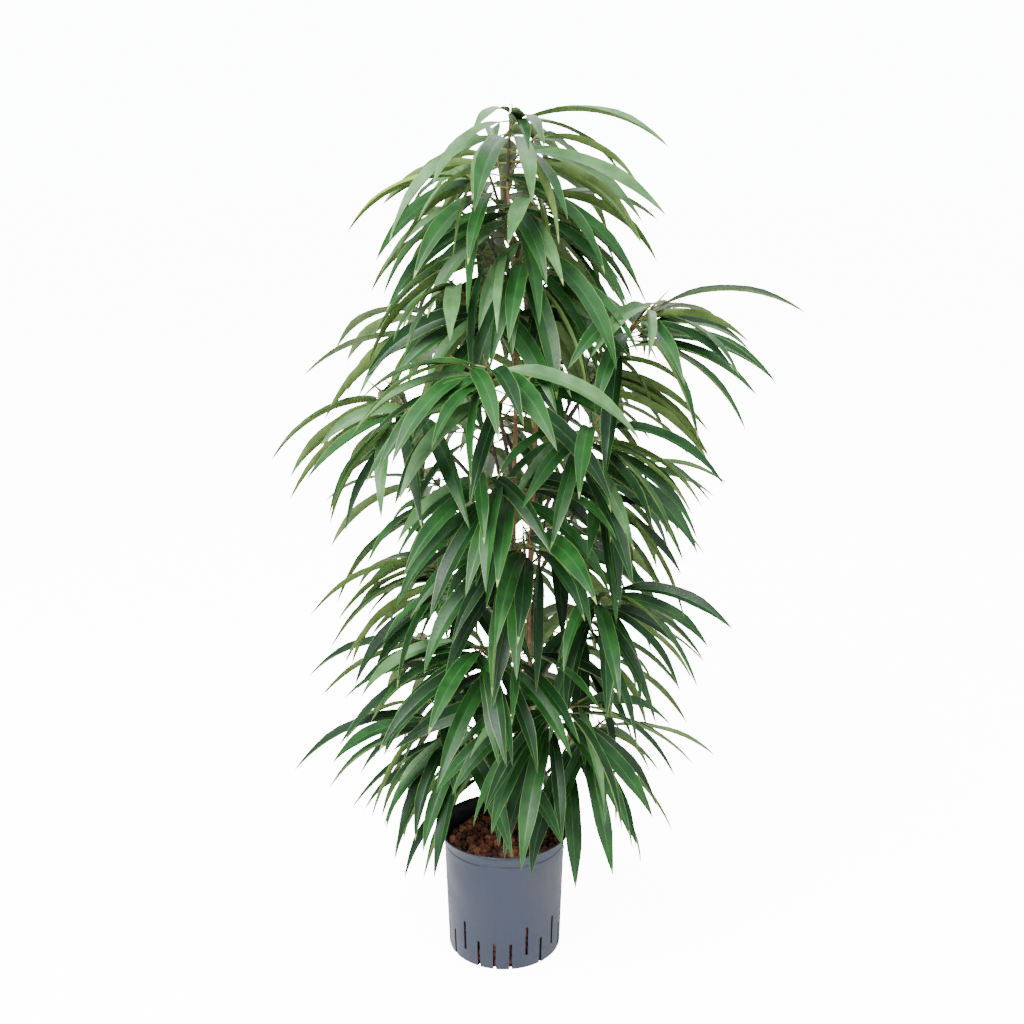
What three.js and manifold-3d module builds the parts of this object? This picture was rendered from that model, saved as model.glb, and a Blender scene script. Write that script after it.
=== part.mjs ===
// Alii ficus: two stems, rising boughs and masses of long drooping leaves, in a slotted pot of granules.
// Millimetres, +Z up, +Y to the back. The origin is the centre of the pot's flat underside.

import * as THREE from 'three';
import { mergeVertices } from 'three/addons/utils/BufferGeometryUtils.js';
import Module from 'manifold-3d';

const wasm = await Module();
wasm.setup();

// Driving dimensions

const CLEARANCE = 0.3;
const FINEST = 0.2;
const GOLDEN_ANGLE = THREE.MathUtils.degToRad(137.508);
const UP = new THREE.Vector3(0, 0, 1);

// The direction that rings start from, a little off +X so that no limb runs along it
const RING_START = new THREE.Vector3(1, 0.01, 0.02);

const POT = {
  height: 177,
  rimRadius: 90,
  shoulderRadius: 82.5,
  baseRadius: 77.5,
  wall: 2.2,
  lipHeight: 9,
  lipThickness: 1.8,
  bandHeight: 18,
  bandStep: 0.7,
  floor: 2.6,
  sides: 40,
};

// Slots round the foot of the pot: a high one stands clear of the base, a low one runs out through its edge
const SLOTS = {
  count: 22,
  first: THREE.MathUtils.degToRad(-59),
  width: 3.8,
  depth: 12,
  low: { from: -1, to: 40 },
  high: { from: 19, to: 63 },
  pattern: ['low', 'high', 'low', 'low', 'low', 'high', 'low', 'high', 'low', 'low', 'low'],
};

const GRANULES = {
  edge: 156,
  crown: 160,
  rings: 5,
  lump: { height: 1.6, across: 8.5, start: 1.3, deep: 9.5, end: -0.4 },
};

// The flat cut under each stem's foot, and the seat that the granules leave for it
const FOOT = { height: 155, margin: 2.5, seatHeight: 40, seatSides: 16 };

// Where each stem passes: across, to the back, up, and its radius there. Routes start under the flat cut
const STEMS = {
  main: {
    sides: 8,
    steps: 18,
    route: [
      [-3, 31, 150, 9.8],
      [1, 28, 177, 7.0],
      [10, 22, 223, 6.2],
      [18, 14, 287, 6.0],
      [19, 8, 353, 6.0],
      [18, 5, 413, 5.6],
      [13, 4, 477, 3.4],
      [13, 2, 627, 3.0],
      [15, 0, 767, 2.7],
      [12, 0, 917, 2.4],
      [5, 0, 1035, 2.0],
    ],
  },
  side: {
    sides: 7,
    steps: 14,
    route: [
      [29, 28, 150, 6.2],
      [33, 24, 177, 4.2],
      [35, 16, 287, 3.6],
      [35, 8, 387, 3.5],
      [32, 2, 497, 3.2],
      [37, -3, 637, 3.0],
      [41, -5, 767, 2.8],
      [36, -4, 827, 2.7],
      [30, -3, 890, 2.6],
    ],
  },
};

// The dry end that was pruned back, on top of the side stem
const STUB = { rise: 12, lean: [26, -6, 50], radius: 2.6, tipRadius: 1.8, sides: 6, steps: 4 };

// By height: how far shoots stand out to the left and to the right, and how much their leaves hang
const REACH = [
  [305, 98, 122, 0.5],
  [350, 104, 134, 0.4],
  [435, 118, 160, 0.25],
  [525, 108, 150, 0.3],
  [625, 98, 146, 0.3],
  [725, 120, 154, 0.3],
  [795, 164, 150, 0.25],
  [865, 130, 170, 0.25],
  [905, 84, 190, 0.1],
  [945, 36, 60, 0.5],
  [1000, 36, 36, 0.45],
  [1045, 56, 46, 0.25],
  [1112, 8, 8, 0.1],
];

const SHOOTS = {
  count: 31,
  top: 1108,
  bottom: 306,
  lowestFoot: 198,
  footGap: 6,
  firstTurn: -0.5,
  turnSpread: 0.2,
  nudges: [0, 0.2, -0.2, 0.4, -0.4, 0.7, -0.7, 1, -1],
  reachSpread: 0.08,
  length: 113,
  lift: THREE.MathUtils.degToRad(50),
  bow: 0.1,
  radius: 3.0,
  tipRadius: 2.3,
  steps: 3,
};

// Side twigs, by the shoot's own length: where they leave its twig, how far they go out and up
const SIDES = {
  count: 1,
  from: 0.2,
  gap: 0.28,
  length: 0.5,
  spread: 0.15,
  turn: 1.05,
  out: 0.72,
  up: 0.62,
  bow: 0.06,
  steps: 2,
};

const BOUGHS = { radius: 3.2, tipRadius: 2.6, sides: 5, steps: 3, shortest: 40 };

const LEAVES = {
  perShoot: 7,
  perTwig: 3,
  from: 0.28,
  to: 0.95,
  length: 190,
  spread: 0.14,
  youngest: 0.8,
  halfWidth: 0.073,
  shape: { scale: 2.6, swell: 0.5, taper: 0.85 },
  thickness: 0.0125,
  petiole: 0.09,
  petioleRadius: 0.95,
  rings: [0, 0.36, 0.68, 1],
  bladeRings: [0.34, 0.5, 0.75, 1],
  lowest: 55,
  guard: 0.25,
  tries: 8,
  tryTurn: 0.4,
};

// How a leaf stands on its twig: the lift of its root and tip, spread out or hanging, and each one's sway
const STANCE = {
  around: { first: 0.8, share: 0.8, sway: 0.5 },
  hang: { inward: 0.5, low: 0.35, sway: 0.4 },
  root: { spread: 0.7, hanging: -0.6, sway: 0.2 },
  tip: { spread: -0.45, hanging: -1.48, sway: 0.2 },
  bend: { sway: 0.3 },
  roll: { around: 0.55, sway: 1.1 },
};

const SEED = 2557;

// Each kind of limb draws from seeds of its own, spaced by shoot and by twig
const SEED_STEPS = { shoot: 1000, side: 2000, leaf: 5000, sideByShoot: 10, leafByShoot: 100, leafByTwig: 30 };

// Finer leaves count for the solids only where they pass the reach of the first ones by this much
const FAR = 4;

// Seeded draws, each one the same every time

function seeded(seed) {
  let state = Math.imul(seed, 2654435761) >>> 0;
  return () => {
    state = (state + 0x6d2b79f5) >>> 0;
    let word = Math.imul(state ^ (state >>> 15), state | 1);
    word ^= word + Math.imul(word ^ (word >>> 7), word | 61);
    return ((word ^ (word >>> 14)) >>> 0) / 4294967296;
  };
}

// Closed meshes and solids

function solidFrom(geometry) {
  geometry.deleteAttribute('normal');
  geometry.deleteAttribute('uv');
  const merged = mergeVertices(geometry, 1e-4);
  const index = merged.index.array;
  const faces = [];
  for (let i = 0; i < index.length; i += 3) {
    const face = [index[i], index[i + 1], index[i + 2]];
    if (new Set(face).size === 3) faces.push(...face);
  }
  return new wasm.Manifold(new wasm.Mesh({
    numProp: 3,
    vertProperties: new Float32Array(merged.attributes.position.array),
    triVerts: new Uint32Array(faces),
  }));
}

function largestBody(solid) {
  return solid.decompose().reduce((best, piece) => (piece.volume() > best.volume() ? piece : best));
}

function meshFrom(name, solid, finish) {
  const { vertProperties, triVerts, numProp } = solid.getMesh();
  const geometry = new THREE.BufferGeometry();
  const place = [];
  for (let i = 0; i < vertProperties.length; i += numProp) {
    place.push(vertProperties[i], vertProperties[i + 1], vertProperties[i + 2]);
  }
  geometry.setAttribute('position', new THREE.Float32BufferAttribute(place, 3));
  geometry.setIndex(Array.from(triVerts));
  geometry.computeVertexNormals();
  const mesh = new THREE.Mesh(geometry, new THREE.MeshStandardMaterial(finish));
  mesh.name = name;
  return mesh;
}

// A unit cylinder bent to a new place, ring by ring: along runs from 0 to 1, x and z lie on the unit circle
function bent(sides, steps, placeAt) {
  const geometry = new THREE.CylinderGeometry(1, 1, 1, sides, steps);
  const position = geometry.attributes.position;
  const vertex = new THREE.Vector3();
  for (let i = 0; i < position.count; i += 1) {
    vertex.fromBufferAttribute(position, i);
    const placed = placeAt(vertex.y + 0.5, vertex.x, vertex.z);
    position.setXYZ(i, placed.x, placed.y, placed.z);
  }
  return solidFrom(geometry);
}

// A tapering limb along a curve, with its rings square to the curve
function limb(curve, sides, steps, radiusAt) {
  return bent(sides, steps, (along, x, z) => {
    const centre = curve.getPoint(along);
    const tangent = curve.getTangent(along);
    const across = RING_START.clone();
    across.addScaledVector(tangent, -across.dot(tangent)).normalize();
    const other = new THREE.Vector3().crossVectors(across, tangent);
    const radius = radiusAt(along, centre);
    return centre.addScaledVector(across, x * radius).addScaledVector(other, z * radius);
  });
}

// Part of another curve, from one share of it to another
class Stretch extends THREE.Curve {
  constructor(curve, from, to) {
    super();
    Object.assign(this, { curve, from, to });
  }

  getPoint(along, target = new THREE.Vector3()) {
    return this.curve.getPoint(THREE.MathUtils.lerp(this.from, this.to, along), target);
  }
}

// Value of each column of a table at a height, in straight steps between its rows
function between(rows, height) {
  const next = rows.findIndex((row) => row[0] >= height);
  if (next <= 0) return rows[next === 0 ? 0 : rows.length - 1];
  const [low, high] = [rows[next - 1], rows[next]];
  const share = (height - low[0]) / (high[0] - low[0]);
  return low.map((value, column) => THREE.MathUtils.lerp(value, high[column], share));
}

// Pot: a thin tapering wall with a flared lip and a raised band under it, and slots round its foot

function wallRadius(height) {
  const shoulder = POT.height - POT.lipHeight;
  return THREE.MathUtils.lerp(POT.baseRadius, POT.shoulderRadius, height / shoulder);
}

function turned(profile, sides) {
  const points = profile.map(([radius, height]) => new THREE.Vector2(radius, height));
  return new THREE.LatheGeometry(points, sides).rotateX(Math.PI / 2);
}

function potSolid() {
  const band = POT.height - POT.bandHeight;
  const shoulder = POT.height - POT.lipHeight;
  const profile = [
    [0, 0],
    [POT.baseRadius, 0],
    [wallRadius(band), band],
    [wallRadius(band) + POT.bandStep, band + 1],
    [POT.shoulderRadius + POT.bandStep, shoulder],
    [POT.rimRadius, POT.height - 1],
    [POT.rimRadius - 0.5, POT.height],
    [POT.rimRadius - POT.lipThickness, POT.height],
    [POT.shoulderRadius - POT.wall + POT.bandStep, shoulder],
    [wallRadius(POT.floor) - POT.wall, POT.floor],
    [0, POT.floor],
  ];
  let pot = solidFrom(turned(profile, POT.sides));
  for (let i = 0; i < SLOTS.count; i += 1) {
    const { from, to } = SLOTS[SLOTS.pattern[i % SLOTS.pattern.length]];
    const turn = SLOTS.first + (i * 2 * Math.PI) / SLOTS.count;
    const cutter = new THREE.BoxGeometry(SLOTS.width, SLOTS.depth, to - from);
    cutter.translate(0, -POT.baseRadius, (from + to) / 2);
    cutter.rotateZ(turn);
    pot = pot.subtract(solidFrom(cutter));
  }
  return pot;
}

// Granule fill: fills the pot to just under its band, with a lumpy crown and a seat for each stem's foot

function lumpAt(x, y) {
  const { height, across, start, deep, end } = GRANULES.lump;
  return height * Math.sin(x / across + start) * Math.cos(y / deep + end);
}

function granuleSolid(stems) {
  const outer = (height) => wallRadius(height) - POT.wall - CLEARANCE;
  const bottom = POT.floor + CLEARANCE;
  const profile = [[0, bottom], [outer(bottom), bottom], [outer(GRANULES.edge), GRANULES.edge]];
  for (let ring = 1; ring <= GRANULES.rings; ring += 1) {
    const share = 1 - ring / GRANULES.rings;
    const rise = (GRANULES.crown - GRANULES.edge) * (1 - share * share);
    profile.push([outer(GRANULES.edge) * share, GRANULES.edge + rise]);
  }
  const geometry = turned(profile, POT.sides / 2);
  const position = geometry.attributes.position;
  for (let i = 0; i < position.count; i += 1) {
    const [x, y, z] = [position.getX(i), position.getY(i), position.getZ(i)];
    if (z > GRANULES.edge + 0.1) position.setZ(i, z + lumpAt(x, y));
  }
  let fill = solidFrom(geometry);
  for (const stem of Object.values(stems)) {
    const { x, y } = stem.curve.getPoint(stem.shareAt(FOOT.height));
    const radius = stem.radiusAt(FOOT.height) + FOOT.margin;
    const seat = new THREE.CylinderGeometry(radius, radius, FOOT.seatHeight, FOOT.seatSides);
    seat.rotateX(Math.PI / 2).translate(x, y, FOOT.height - CLEARANCE + FOOT.seatHeight / 2);
    fill = fill.subtract(solidFrom(seat));
  }
  return fill;
}

// Stems

class Stem {
  constructor({ route, sides, steps }) {
    const points = route.map(([x, y, z]) => new THREE.Vector3(x, y, z));
    this.curve = new THREE.CatmullRomCurve3(points, false, 'catmullrom', 0.5);
    this.radii = route.map(([, , z, radius]) => [z, radius]);
    this.sides = sides;
    this.steps = steps;
  }

  radiusAt(height) {
    return between(this.radii, height)[1];
  }

  // Share of the curve at which the stem reaches a height
  shareAt(height) {
    let [low, high] = [0, 1];
    for (let i = 0; i < 40; i += 1) {
      const middle = (low + high) / 2;
      if (this.curve.getPoint(middle).z < height) low = middle;
      else high = middle;
    }
    return low;
  }

  solid(extra = 0) {
    const radiusAt = (along, centre) => this.radiusAt(centre.z) + extra;
    const { x, y } = this.curve.getPoint(0);
    const size = FOOT.seatHeight;
    const cutter = new THREE.BoxGeometry(size, size, size).translate(x, y, FOOT.height - size / 2);
    return limb(this.curve, this.sides, this.steps, radiusAt).subtract(solidFrom(cutter));
  }
}

// The stub rises along the stem's own line and then leans over, clear of the stem's end
function stubSolid(stem, extra = 0) {
  const tangent = stem.curve.getTangent(1);
  const start = stem.curve.getPoint(1).addScaledVector(tangent, CLEARANCE);
  const middle = start.clone().addScaledVector(tangent, STUB.rise);
  const end = start.clone().add(new THREE.Vector3(...STUB.lean));
  const curve = new THREE.QuadraticBezierCurve3(start, middle, end);
  const taper = (along) => THREE.MathUtils.lerp(STUB.radius, STUB.tipRadius, along) + extra;
  return limb(curve, STUB.sides, STUB.steps, taper);
}

// Shoots: one spiral from the top of the crown to its foot, each with a rising path from its stem

function unitAt(turn) {
  return new THREE.Vector3(Math.cos(turn), Math.sin(turn), 0);
}

// A draw as a step to either side, at most half of the sway
function swayed(draw, sway) {
  return (draw() - 0.5) * sway;
}

function shootPlan(stems, index, nudge) {
  const draw = seeded(SEED * SEED_STEPS.shoot + index);
  const share = index / (SHOOTS.count - 1);
  const height = THREE.MathUtils.lerp(SHOOTS.top, SHOOTS.bottom, share);
  const turn = SHOOTS.firstTurn + index * GOLDEN_ANGLE + swayed(draw, SHOOTS.turnSpread) + nudge;
  const [, left, right, hang] = between(REACH, height);
  const facing = THREE.MathUtils.lerp(left, right, (1 + Math.cos(turn)) / 2);
  const reach = facing * (1 + swayed(draw, 2 * SHOOTS.reachSpread));
  const tip = unitAt(turn).multiplyScalar(reach);
  tip.z = height;
  const shortRise = Math.sqrt(Math.max(SHOOTS.length ** 2 - reach ** 2, 0));
  const rise = Math.max(reach * Math.tan(SHOOTS.lift), shortRise);
  const foot = Math.max(height - rise, SHOOTS.lowestFoot + SHOOTS.footGap * (SHOOTS.count - index));
  const ranked = Object.values(stems)
    .filter((stem) => stem.curve.getPoint(1).z > foot)
    .map((stem) => ({ stem, start: stem.curve.getPoint(stem.shareAt(foot)) }))
    .sort((one, other) => one.start.distanceTo(tip) - other.start.distanceTo(tip));
  const { stem, start } = ranked[0];
  if (index === 0) start.copy(stem.curve.getPoint(1));
  const middle = start.clone().lerp(tip, 0.5);
  middle.z += SHOOTS.bow * start.distanceTo(tip);
  const path = new THREE.QuadraticBezierCurve3(start, middle, tip);
  const sleeve = stem.solid(CLEARANCE / Math.cos(Math.PI / stem.sides));
  return { index, owner: `shoot ${index}`, stem, turn, hang, path, sleeve };
}

// Leaves: a petiole and a tapering blade that droops along an arc, its keel under the midrib

function leafCentre(leaf, along) {
  const fall = leaf.endLift - leaf.startLift;
  const lift = leaf.startLift + fall * along;
  const forward = (leaf.length * (Math.sin(lift) - Math.sin(leaf.startLift))) / fall;
  const up = (leaf.length * (Math.cos(leaf.startLift) - Math.cos(lift))) / fall;
  const sideways = (leaf.length * leaf.bend * along * along) / 2;
  return leaf.root.clone()
    .addScaledVector(unitAt(leaf.turn), forward)
    .addScaledVector(unitAt(leaf.turn + Math.PI / 2), sideways)
    .addScaledVector(UP, up);
}

// Half the blade's width, as a share of the widest: it is full from near its base and ends in a long point
function bladeShape(along) {
  const { scale, swell, taper } = LEAVES.shape;
  const blade = THREE.MathUtils.clamp((along - LEAVES.petiole) / (1 - LEAVES.petiole), 0, 1);
  return Math.min(1, scale * blade ** swell * (1 - blade) ** taper);
}

function leafSolid(leaf, rings, extra = 0) {
  return bent(3, rings.length - 1, (step, x, z) => {
    const along = rings[Math.round(step * (rings.length - 1))];
    const centre = leafCentre(leaf, along);
    const lift = THREE.MathUtils.lerp(leaf.startLift, leaf.endLift, along);
    const tangent = unitAt(leaf.turn).multiplyScalar(Math.cos(lift)).addScaledVector(UP, Math.sin(lift));
    const across = unitAt(leaf.turn + Math.PI / 2).applyAxisAngle(tangent, leaf.roll);
    const under = new THREE.Vector3().crossVectors(across, tangent);
    if (along === 0) {
      const radius = LEAVES.petioleRadius;
      return centre.addScaledVector(across, x * radius).addScaledVector(under, z * radius);
    }
    if (along === 1) return centre;
    const halfWidth = leaf.length * LEAVES.halfWidth * bladeShape(along) + extra;
    const keel = leaf.length * LEAVES.thickness + extra;
    return centre
      .addScaledVector(across, (x / Math.sin(Math.PI / 3)) * halfWidth)
      .addScaledVector(under, ((z + 0.5) / 1.5) * keel - extra);
  });
}

// A leaf at a share of its twig, turned round it by the golden angle and drooping more where it faces in
function leafAt(twig, along, order, draw) {
  const { around, hang, root, tip, bend, roll } = STANCE;
  const golden = (order * GOLDEN_ANGLE + around.first) % (2 * Math.PI);
  const aside = (golden - Math.PI) * around.share + swayed(draw, around.sway);
  const inward = Math.abs(aside) / Math.PI;
  const weight = twig.hang + hang.inward * inward + hang.low * (1 - along);
  const droop = THREE.MathUtils.clamp(weight + swayed(draw, hang.sway), 0, 1);
  const youth = along === LEAVES.to ? LEAVES.youngest : 1;
  return {
    root: twig.curve.getPoint(along),
    turn: twig.turn + aside,
    startLift: THREE.MathUtils.lerp(root.spread, root.hanging, droop) + swayed(draw, root.sway),
    endLift: THREE.MathUtils.lerp(tip.spread, tip.hanging, droop) + swayed(draw, tip.sway),
    bend: swayed(draw, bend.sway),
    roll: roll.around * Math.sin(aside) + swayed(draw, roll.sway),
    length: LEAVES.length * youth * (1 + swayed(draw, 2 * LEAVES.spread)),
  };
}

// Growth: twigs first, then the leaves of all shoots in turn, each skipped where it would touch another piece

function boxesMeet(one, other) {
  return [0, 1, 2].every((axis) => one.min[axis] <= other.max[axis] && other.min[axis] <= one.max[axis]);
}

class Space {
  constructor() {
    this.taken = [];
  }

  // Within a shoot only the blades of its leaves keep clear, as twigs and petioles join there
  add(owner, whole, blade = null) {
    this.taken.push({ owner, whole, blade, box: whole.boundingBox() });
  }

  isClear(owner, whole, blade = null) {
    const box = whole.boundingBox();
    return this.taken.filter((other) => boxesMeet(box, other.box)).every((other) => {
      if (other.owner !== owner) return whole.intersect(other.whole).isEmpty();
      return !blade || blade.intersect(other.blade ?? other.whole).isEmpty();
    });
  }
}

function twigSolid({ curve, steps, radius }, extra = 0) {
  return limb(curve, 3, steps, (along) => THREE.MathUtils.lerp(radius, SHOOTS.tipRadius, along) + extra);
}

// A side twig leaves the shoot's own twig, the first to one hand and the next to the other
function sideTwig(plan, number) {
  const draw = seeded(SEED * SEED_STEPS.side + plan.index * SEED_STEPS.sideByShoot + number);
  const start = plan.twigs[0].curve.getPoint(SIDES.from + SIDES.gap * (number - 1));
  const hand = number % 2 === 0 ? -1 : 1;
  const turn = plan.turn + hand * SIDES.turn * (1 + swayed(draw, SIDES.spread * 2));
  const length = SHOOTS.length * SIDES.length * (1 + swayed(draw, SIDES.spread * 2));
  const end = start.clone()
    .addScaledVector(unitAt(turn), length * SIDES.out)
    .addScaledVector(UP, length * SIDES.up);
  const middle = start.clone().lerp(end, 0.5).addScaledVector(UP, length * SIDES.bow);
  const curve = new THREE.QuadraticBezierCurve3(start, middle, end);
  const { hang } = plan;
  const { steps } = SIDES;
  return { number, curve, turn, hang, leaves: LEAVES.perTwig, steps, radius: SHOOTS.tipRadius };
}

function boughSolid(curve, extra = 0) {
  const { sides, steps, radius, tipRadius } = BOUGHS;
  return limb(curve, sides, steps, (along) => THREE.MathUtils.lerp(radius, tipRadius, along) + extra);
}

// The bough of a shoot, where its path is long enough for one, and the twig past the bough's tip
function planLimbs(plan) {
  const length = plan.path.getLength();
  const split = 1 - SHOOTS.length / length;
  const hasBough = split * length > BOUGHS.shortest;
  const startsFree = hasBough || plan.index === 0;
  const from = (hasBough ? split : 0) + (startsFree ? CLEARANCE / length : 0);
  const curve = new Stretch(plan.path, from, 1);
  const { steps, radius } = SHOOTS;
  const { turn, hang } = plan;
  plan.twigs = [{ number: 0, curve, turn, hang, leaves: LEAVES.perShoot, steps, radius, isShown: true }];
  plan.leaves = [];
  plan.boughCurve = hasBough ? new Stretch(plan.path, 0, split) : null;
}

// A shoot's limbs, tried at a few turns until they are clear of all but their own stem
function growShoot(space, stems, index) {
  for (const nudge of SHOOTS.nudges) {
    const plan = shootPlan(stems, index, nudge);
    planLimbs(plan);
    const guards = [[plan.owner, twigSolid(plan.twigs[0], CLEARANCE)]];
    if (plan.boughCurve) guards.push([`bough ${index}`, boughSolid(plan.boughCurve, CLEARANCE)]);
    if (guards.every(([, guard]) => space.isClear(plan.stem, guard))) {
      guards.forEach(([owner, guard]) => space.add(owner, guard));
      if (plan.boughCurve) plan.bough = largestBody(boughSolid(plan.boughCurve).subtract(plan.sleeve));
      return plan;
    }
  }
  return null;
}

function growSideTwig(space, plan, number, isShown) {
  const twig = { ...sideTwig(plan, number), isShown };
  const guard = twigSolid(twig, CLEARANCE);
  if (!space.isClear(plan.owner, guard)) return;
  space.add(plan.owner, guard);
  plan.twigs.push(twig);
}

// One leaf of a twig, tried at a few turns until it is clear of all the rest
function growLeaf(space, plan, twig, order, share, isShown) {
  const { leaf: step, leafByShoot, leafByTwig } = SEED_STEPS;
  const draw = seeded(SEED * step + plan.index * leafByShoot + twig.number * leafByTwig + order);
  const along = THREE.MathUtils.lerp(LEAVES.to, LEAVES.from, share);
  for (let attempt = 0; attempt < LEAVES.tries; attempt += 1) {
    const rank = order + twig.number * LEAVES.perTwig + attempt * LEAVES.tryTurn;
    const leaf = leafAt(twig, along, rank, draw);
    const guard = leafSolid(leaf, LEAVES.rings, LEAVES.guard);
    const blade = leafSolid(leaf, LEAVES.bladeRings, LEAVES.guard);
    if (guard.boundingBox().min[2] > LEAVES.lowest && space.isClear(plan.owner, guard, blade)) {
      space.add(plan.owner, guard, blade);
      if (isShown(guard)) {
        plan.leaves.push(leafSolid(leaf, LEAVES.rings));
        twig.isShown = true;
      }
      return;
    }
  }
}

function boxAround(solids) {
  const box = { min: [Infinity, Infinity, Infinity], max: [-Infinity, -Infinity, -Infinity] };
  for (const { min, max } of solids.map((solid) => solid.boundingBox())) {
    box.min = box.min.map((low, axis) => Math.min(low, min[axis]));
    box.max = box.max.map((high, axis) => Math.max(high, max[axis]));
  }
  return box;
}

// Finer growth: one more side twig on each shoot, and leaves between the first ones. The solids show only
// those leaves that pass the reach of the first ones, with the twigs that carry them
function growFiner(space, crown) {
  const reach = boxAround(crown.flatMap((plan) => plan.leaves));
  const isFar = (guard) => {
    const { min, max } = guard.boundingBox();
    return [0, 1, 2].some((axis) => min[axis] < reach.min[axis] - FAR || max[axis] > reach.max[axis] + FAR);
  };
  crown.forEach((plan) => growSideTwig(space, plan, SIDES.count + 1, false));
  for (let order = 0; order < 2 * LEAVES.perShoot; order += 1) {
    for (const plan of crown) {
      for (const twig of plan.twigs) {
        const isLate = twig.number > SIDES.count;
        const isBetween = !isLate && order >= twig.leaves && order < 2 * twig.leaves - 1;
        if (isLate && order <= twig.leaves) {
          growLeaf(space, plan, twig, order, order / twig.leaves, isFar);
        } else if (isBetween) {
          growLeaf(space, plan, twig, order, (order - twig.leaves + 0.5) / (twig.leaves - 1), isFar);
        }
      }
    }
  }
}

function growCrown(stems, pot, fill) {
  const space = new Space();
  space.add('pot', pot);
  space.add('fill', fill);
  Object.values(stems).forEach((stem) => space.add(stem, stem.solid(CLEARANCE)));
  space.add('stub', stubSolid(stems.side, CLEARANCE));
  const crown = [];
  for (let index = 0; index < SHOOTS.count; index += 1) {
    const plan = growShoot(space, stems, index);
    if (plan) crown.push(plan);
  }
  for (let number = 1; number <= SIDES.count; number += 1) {
    crown.forEach((plan) => growSideTwig(space, plan, number, true));
  }
  for (let order = 0; order < LEAVES.perShoot; order += 1) {
    for (const plan of crown) {
      for (const twig of plan.twigs) {
        const share = order / (twig.leaves - 1);
        if (share <= 1) growLeaf(space, plan, twig, order, share, () => true);
      }
    }
  }
  growFiner(space, crown);
  return crown;
}

// Assembly

const POT_FINISH = { color: 0x68768c, roughness: 0.5, metalness: 0 };
const GRANULE_FINISH = { color: 0x6e3c2d, roughness: 0.95, metalness: 0 };
const BARK_FINISH = { color: 0x6a4a30, roughness: 0.85, metalness: 0 };
const BOUGH_FINISH = { color: 0x5b4a2c, roughness: 0.8, metalness: 0 };
const DRY_FINISH = { color: 0xb08a5c, roughness: 0.9, metalness: 0 };
const LEAF_FINISH = { color: 0x1d5a2c, roughness: 0.4, metalness: 0 };

const stems = { main: new Stem(STEMS.main), side: new Stem(STEMS.side) };
const pot = potSolid();
const fill = granuleSolid(stems);
const crown = growCrown(stems, pot, fill);

const group = new THREE.Group();
group.add(meshFrom('pot', pot, POT_FINISH));
group.add(meshFrom('granule_fill', fill, GRANULE_FINISH));
for (const [name, stem] of Object.entries(stems)) {
  group.add(meshFrom(`stem_${name}`, stem.solid(), BARK_FINISH));
}
group.add(meshFrom('dry_stub', stubSolid(stems.side), DRY_FINISH));
for (const plan of crown) {
  const number = String(plan.index + 1).padStart(2, '0');
  if (plan.bough) group.add(meshFrom(`bough_${number}`, plan.bough, BOUGH_FINISH));
  const twigs = plan.twigs.filter((twig) => twig.isShown).map((twig) => twigSolid(twig));
  const whole = wasm.Manifold.union([...twigs, ...plan.leaves]);
  const mass = largestBody(whole.subtract(plan.sleeve)).simplify(FINEST);
  group.add(meshFrom(`foliage_${number}`, mass, LEAF_FINISH));
}

export default group;
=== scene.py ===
"""Alii ficus: two slim stems, rising boughs and long drooping leaves, in a slotted pot of clay granules.

The crown grows by the rule of the solids, one spiral of shoots from top to foot, and is then carried on to
finer twigs and to the leaves between the first ones. Growth works in millimetres, +Z up, and the meshes are
made in metres, in the frame of the solids.
"""

import logging
import math
from dataclasses import dataclass, field
from enum import Enum
from functools import partial
from typing import Callable, Iterable, Optional, Sequence

import bmesh
import bpy
import numpy as np
from mathutils import Matrix, Vector, bvhtree, noise


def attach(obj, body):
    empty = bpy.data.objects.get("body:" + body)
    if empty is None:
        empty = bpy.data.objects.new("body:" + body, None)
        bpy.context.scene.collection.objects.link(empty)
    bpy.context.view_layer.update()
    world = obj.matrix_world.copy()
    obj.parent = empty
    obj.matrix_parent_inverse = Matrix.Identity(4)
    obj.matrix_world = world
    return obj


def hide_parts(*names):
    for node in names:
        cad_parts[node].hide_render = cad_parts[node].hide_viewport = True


logging.basicConfig(level=logging.INFO, format="%(message)s")
LOG = logging.getLogger("ficus")

MM = 0.001
CLEARANCE = 0.3
GOLDEN_ANGLE = math.radians(137.508)
UP = Vector((0.0, 0.0, 1.0))
RING_SIDE = Vector((1.0, 0.01, 0.02))
QUAD = 4
BODY = "root"

Pair = tuple[float, float]
Triple = tuple[float, float, float]
Face = tuple[int, ...]
Shape = Callable[[float], float]
Colour = tuple[int, int, int]
Material = bpy.types.Material
Piece = bpy.types.Object
Socket = bpy.types.NodeSocket

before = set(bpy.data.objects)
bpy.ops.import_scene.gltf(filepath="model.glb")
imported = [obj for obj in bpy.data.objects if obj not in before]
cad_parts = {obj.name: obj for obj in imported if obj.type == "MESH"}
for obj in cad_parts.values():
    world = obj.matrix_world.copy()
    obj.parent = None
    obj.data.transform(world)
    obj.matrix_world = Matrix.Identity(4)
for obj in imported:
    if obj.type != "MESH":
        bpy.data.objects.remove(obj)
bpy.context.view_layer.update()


# Seeded draws and small sums


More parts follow.
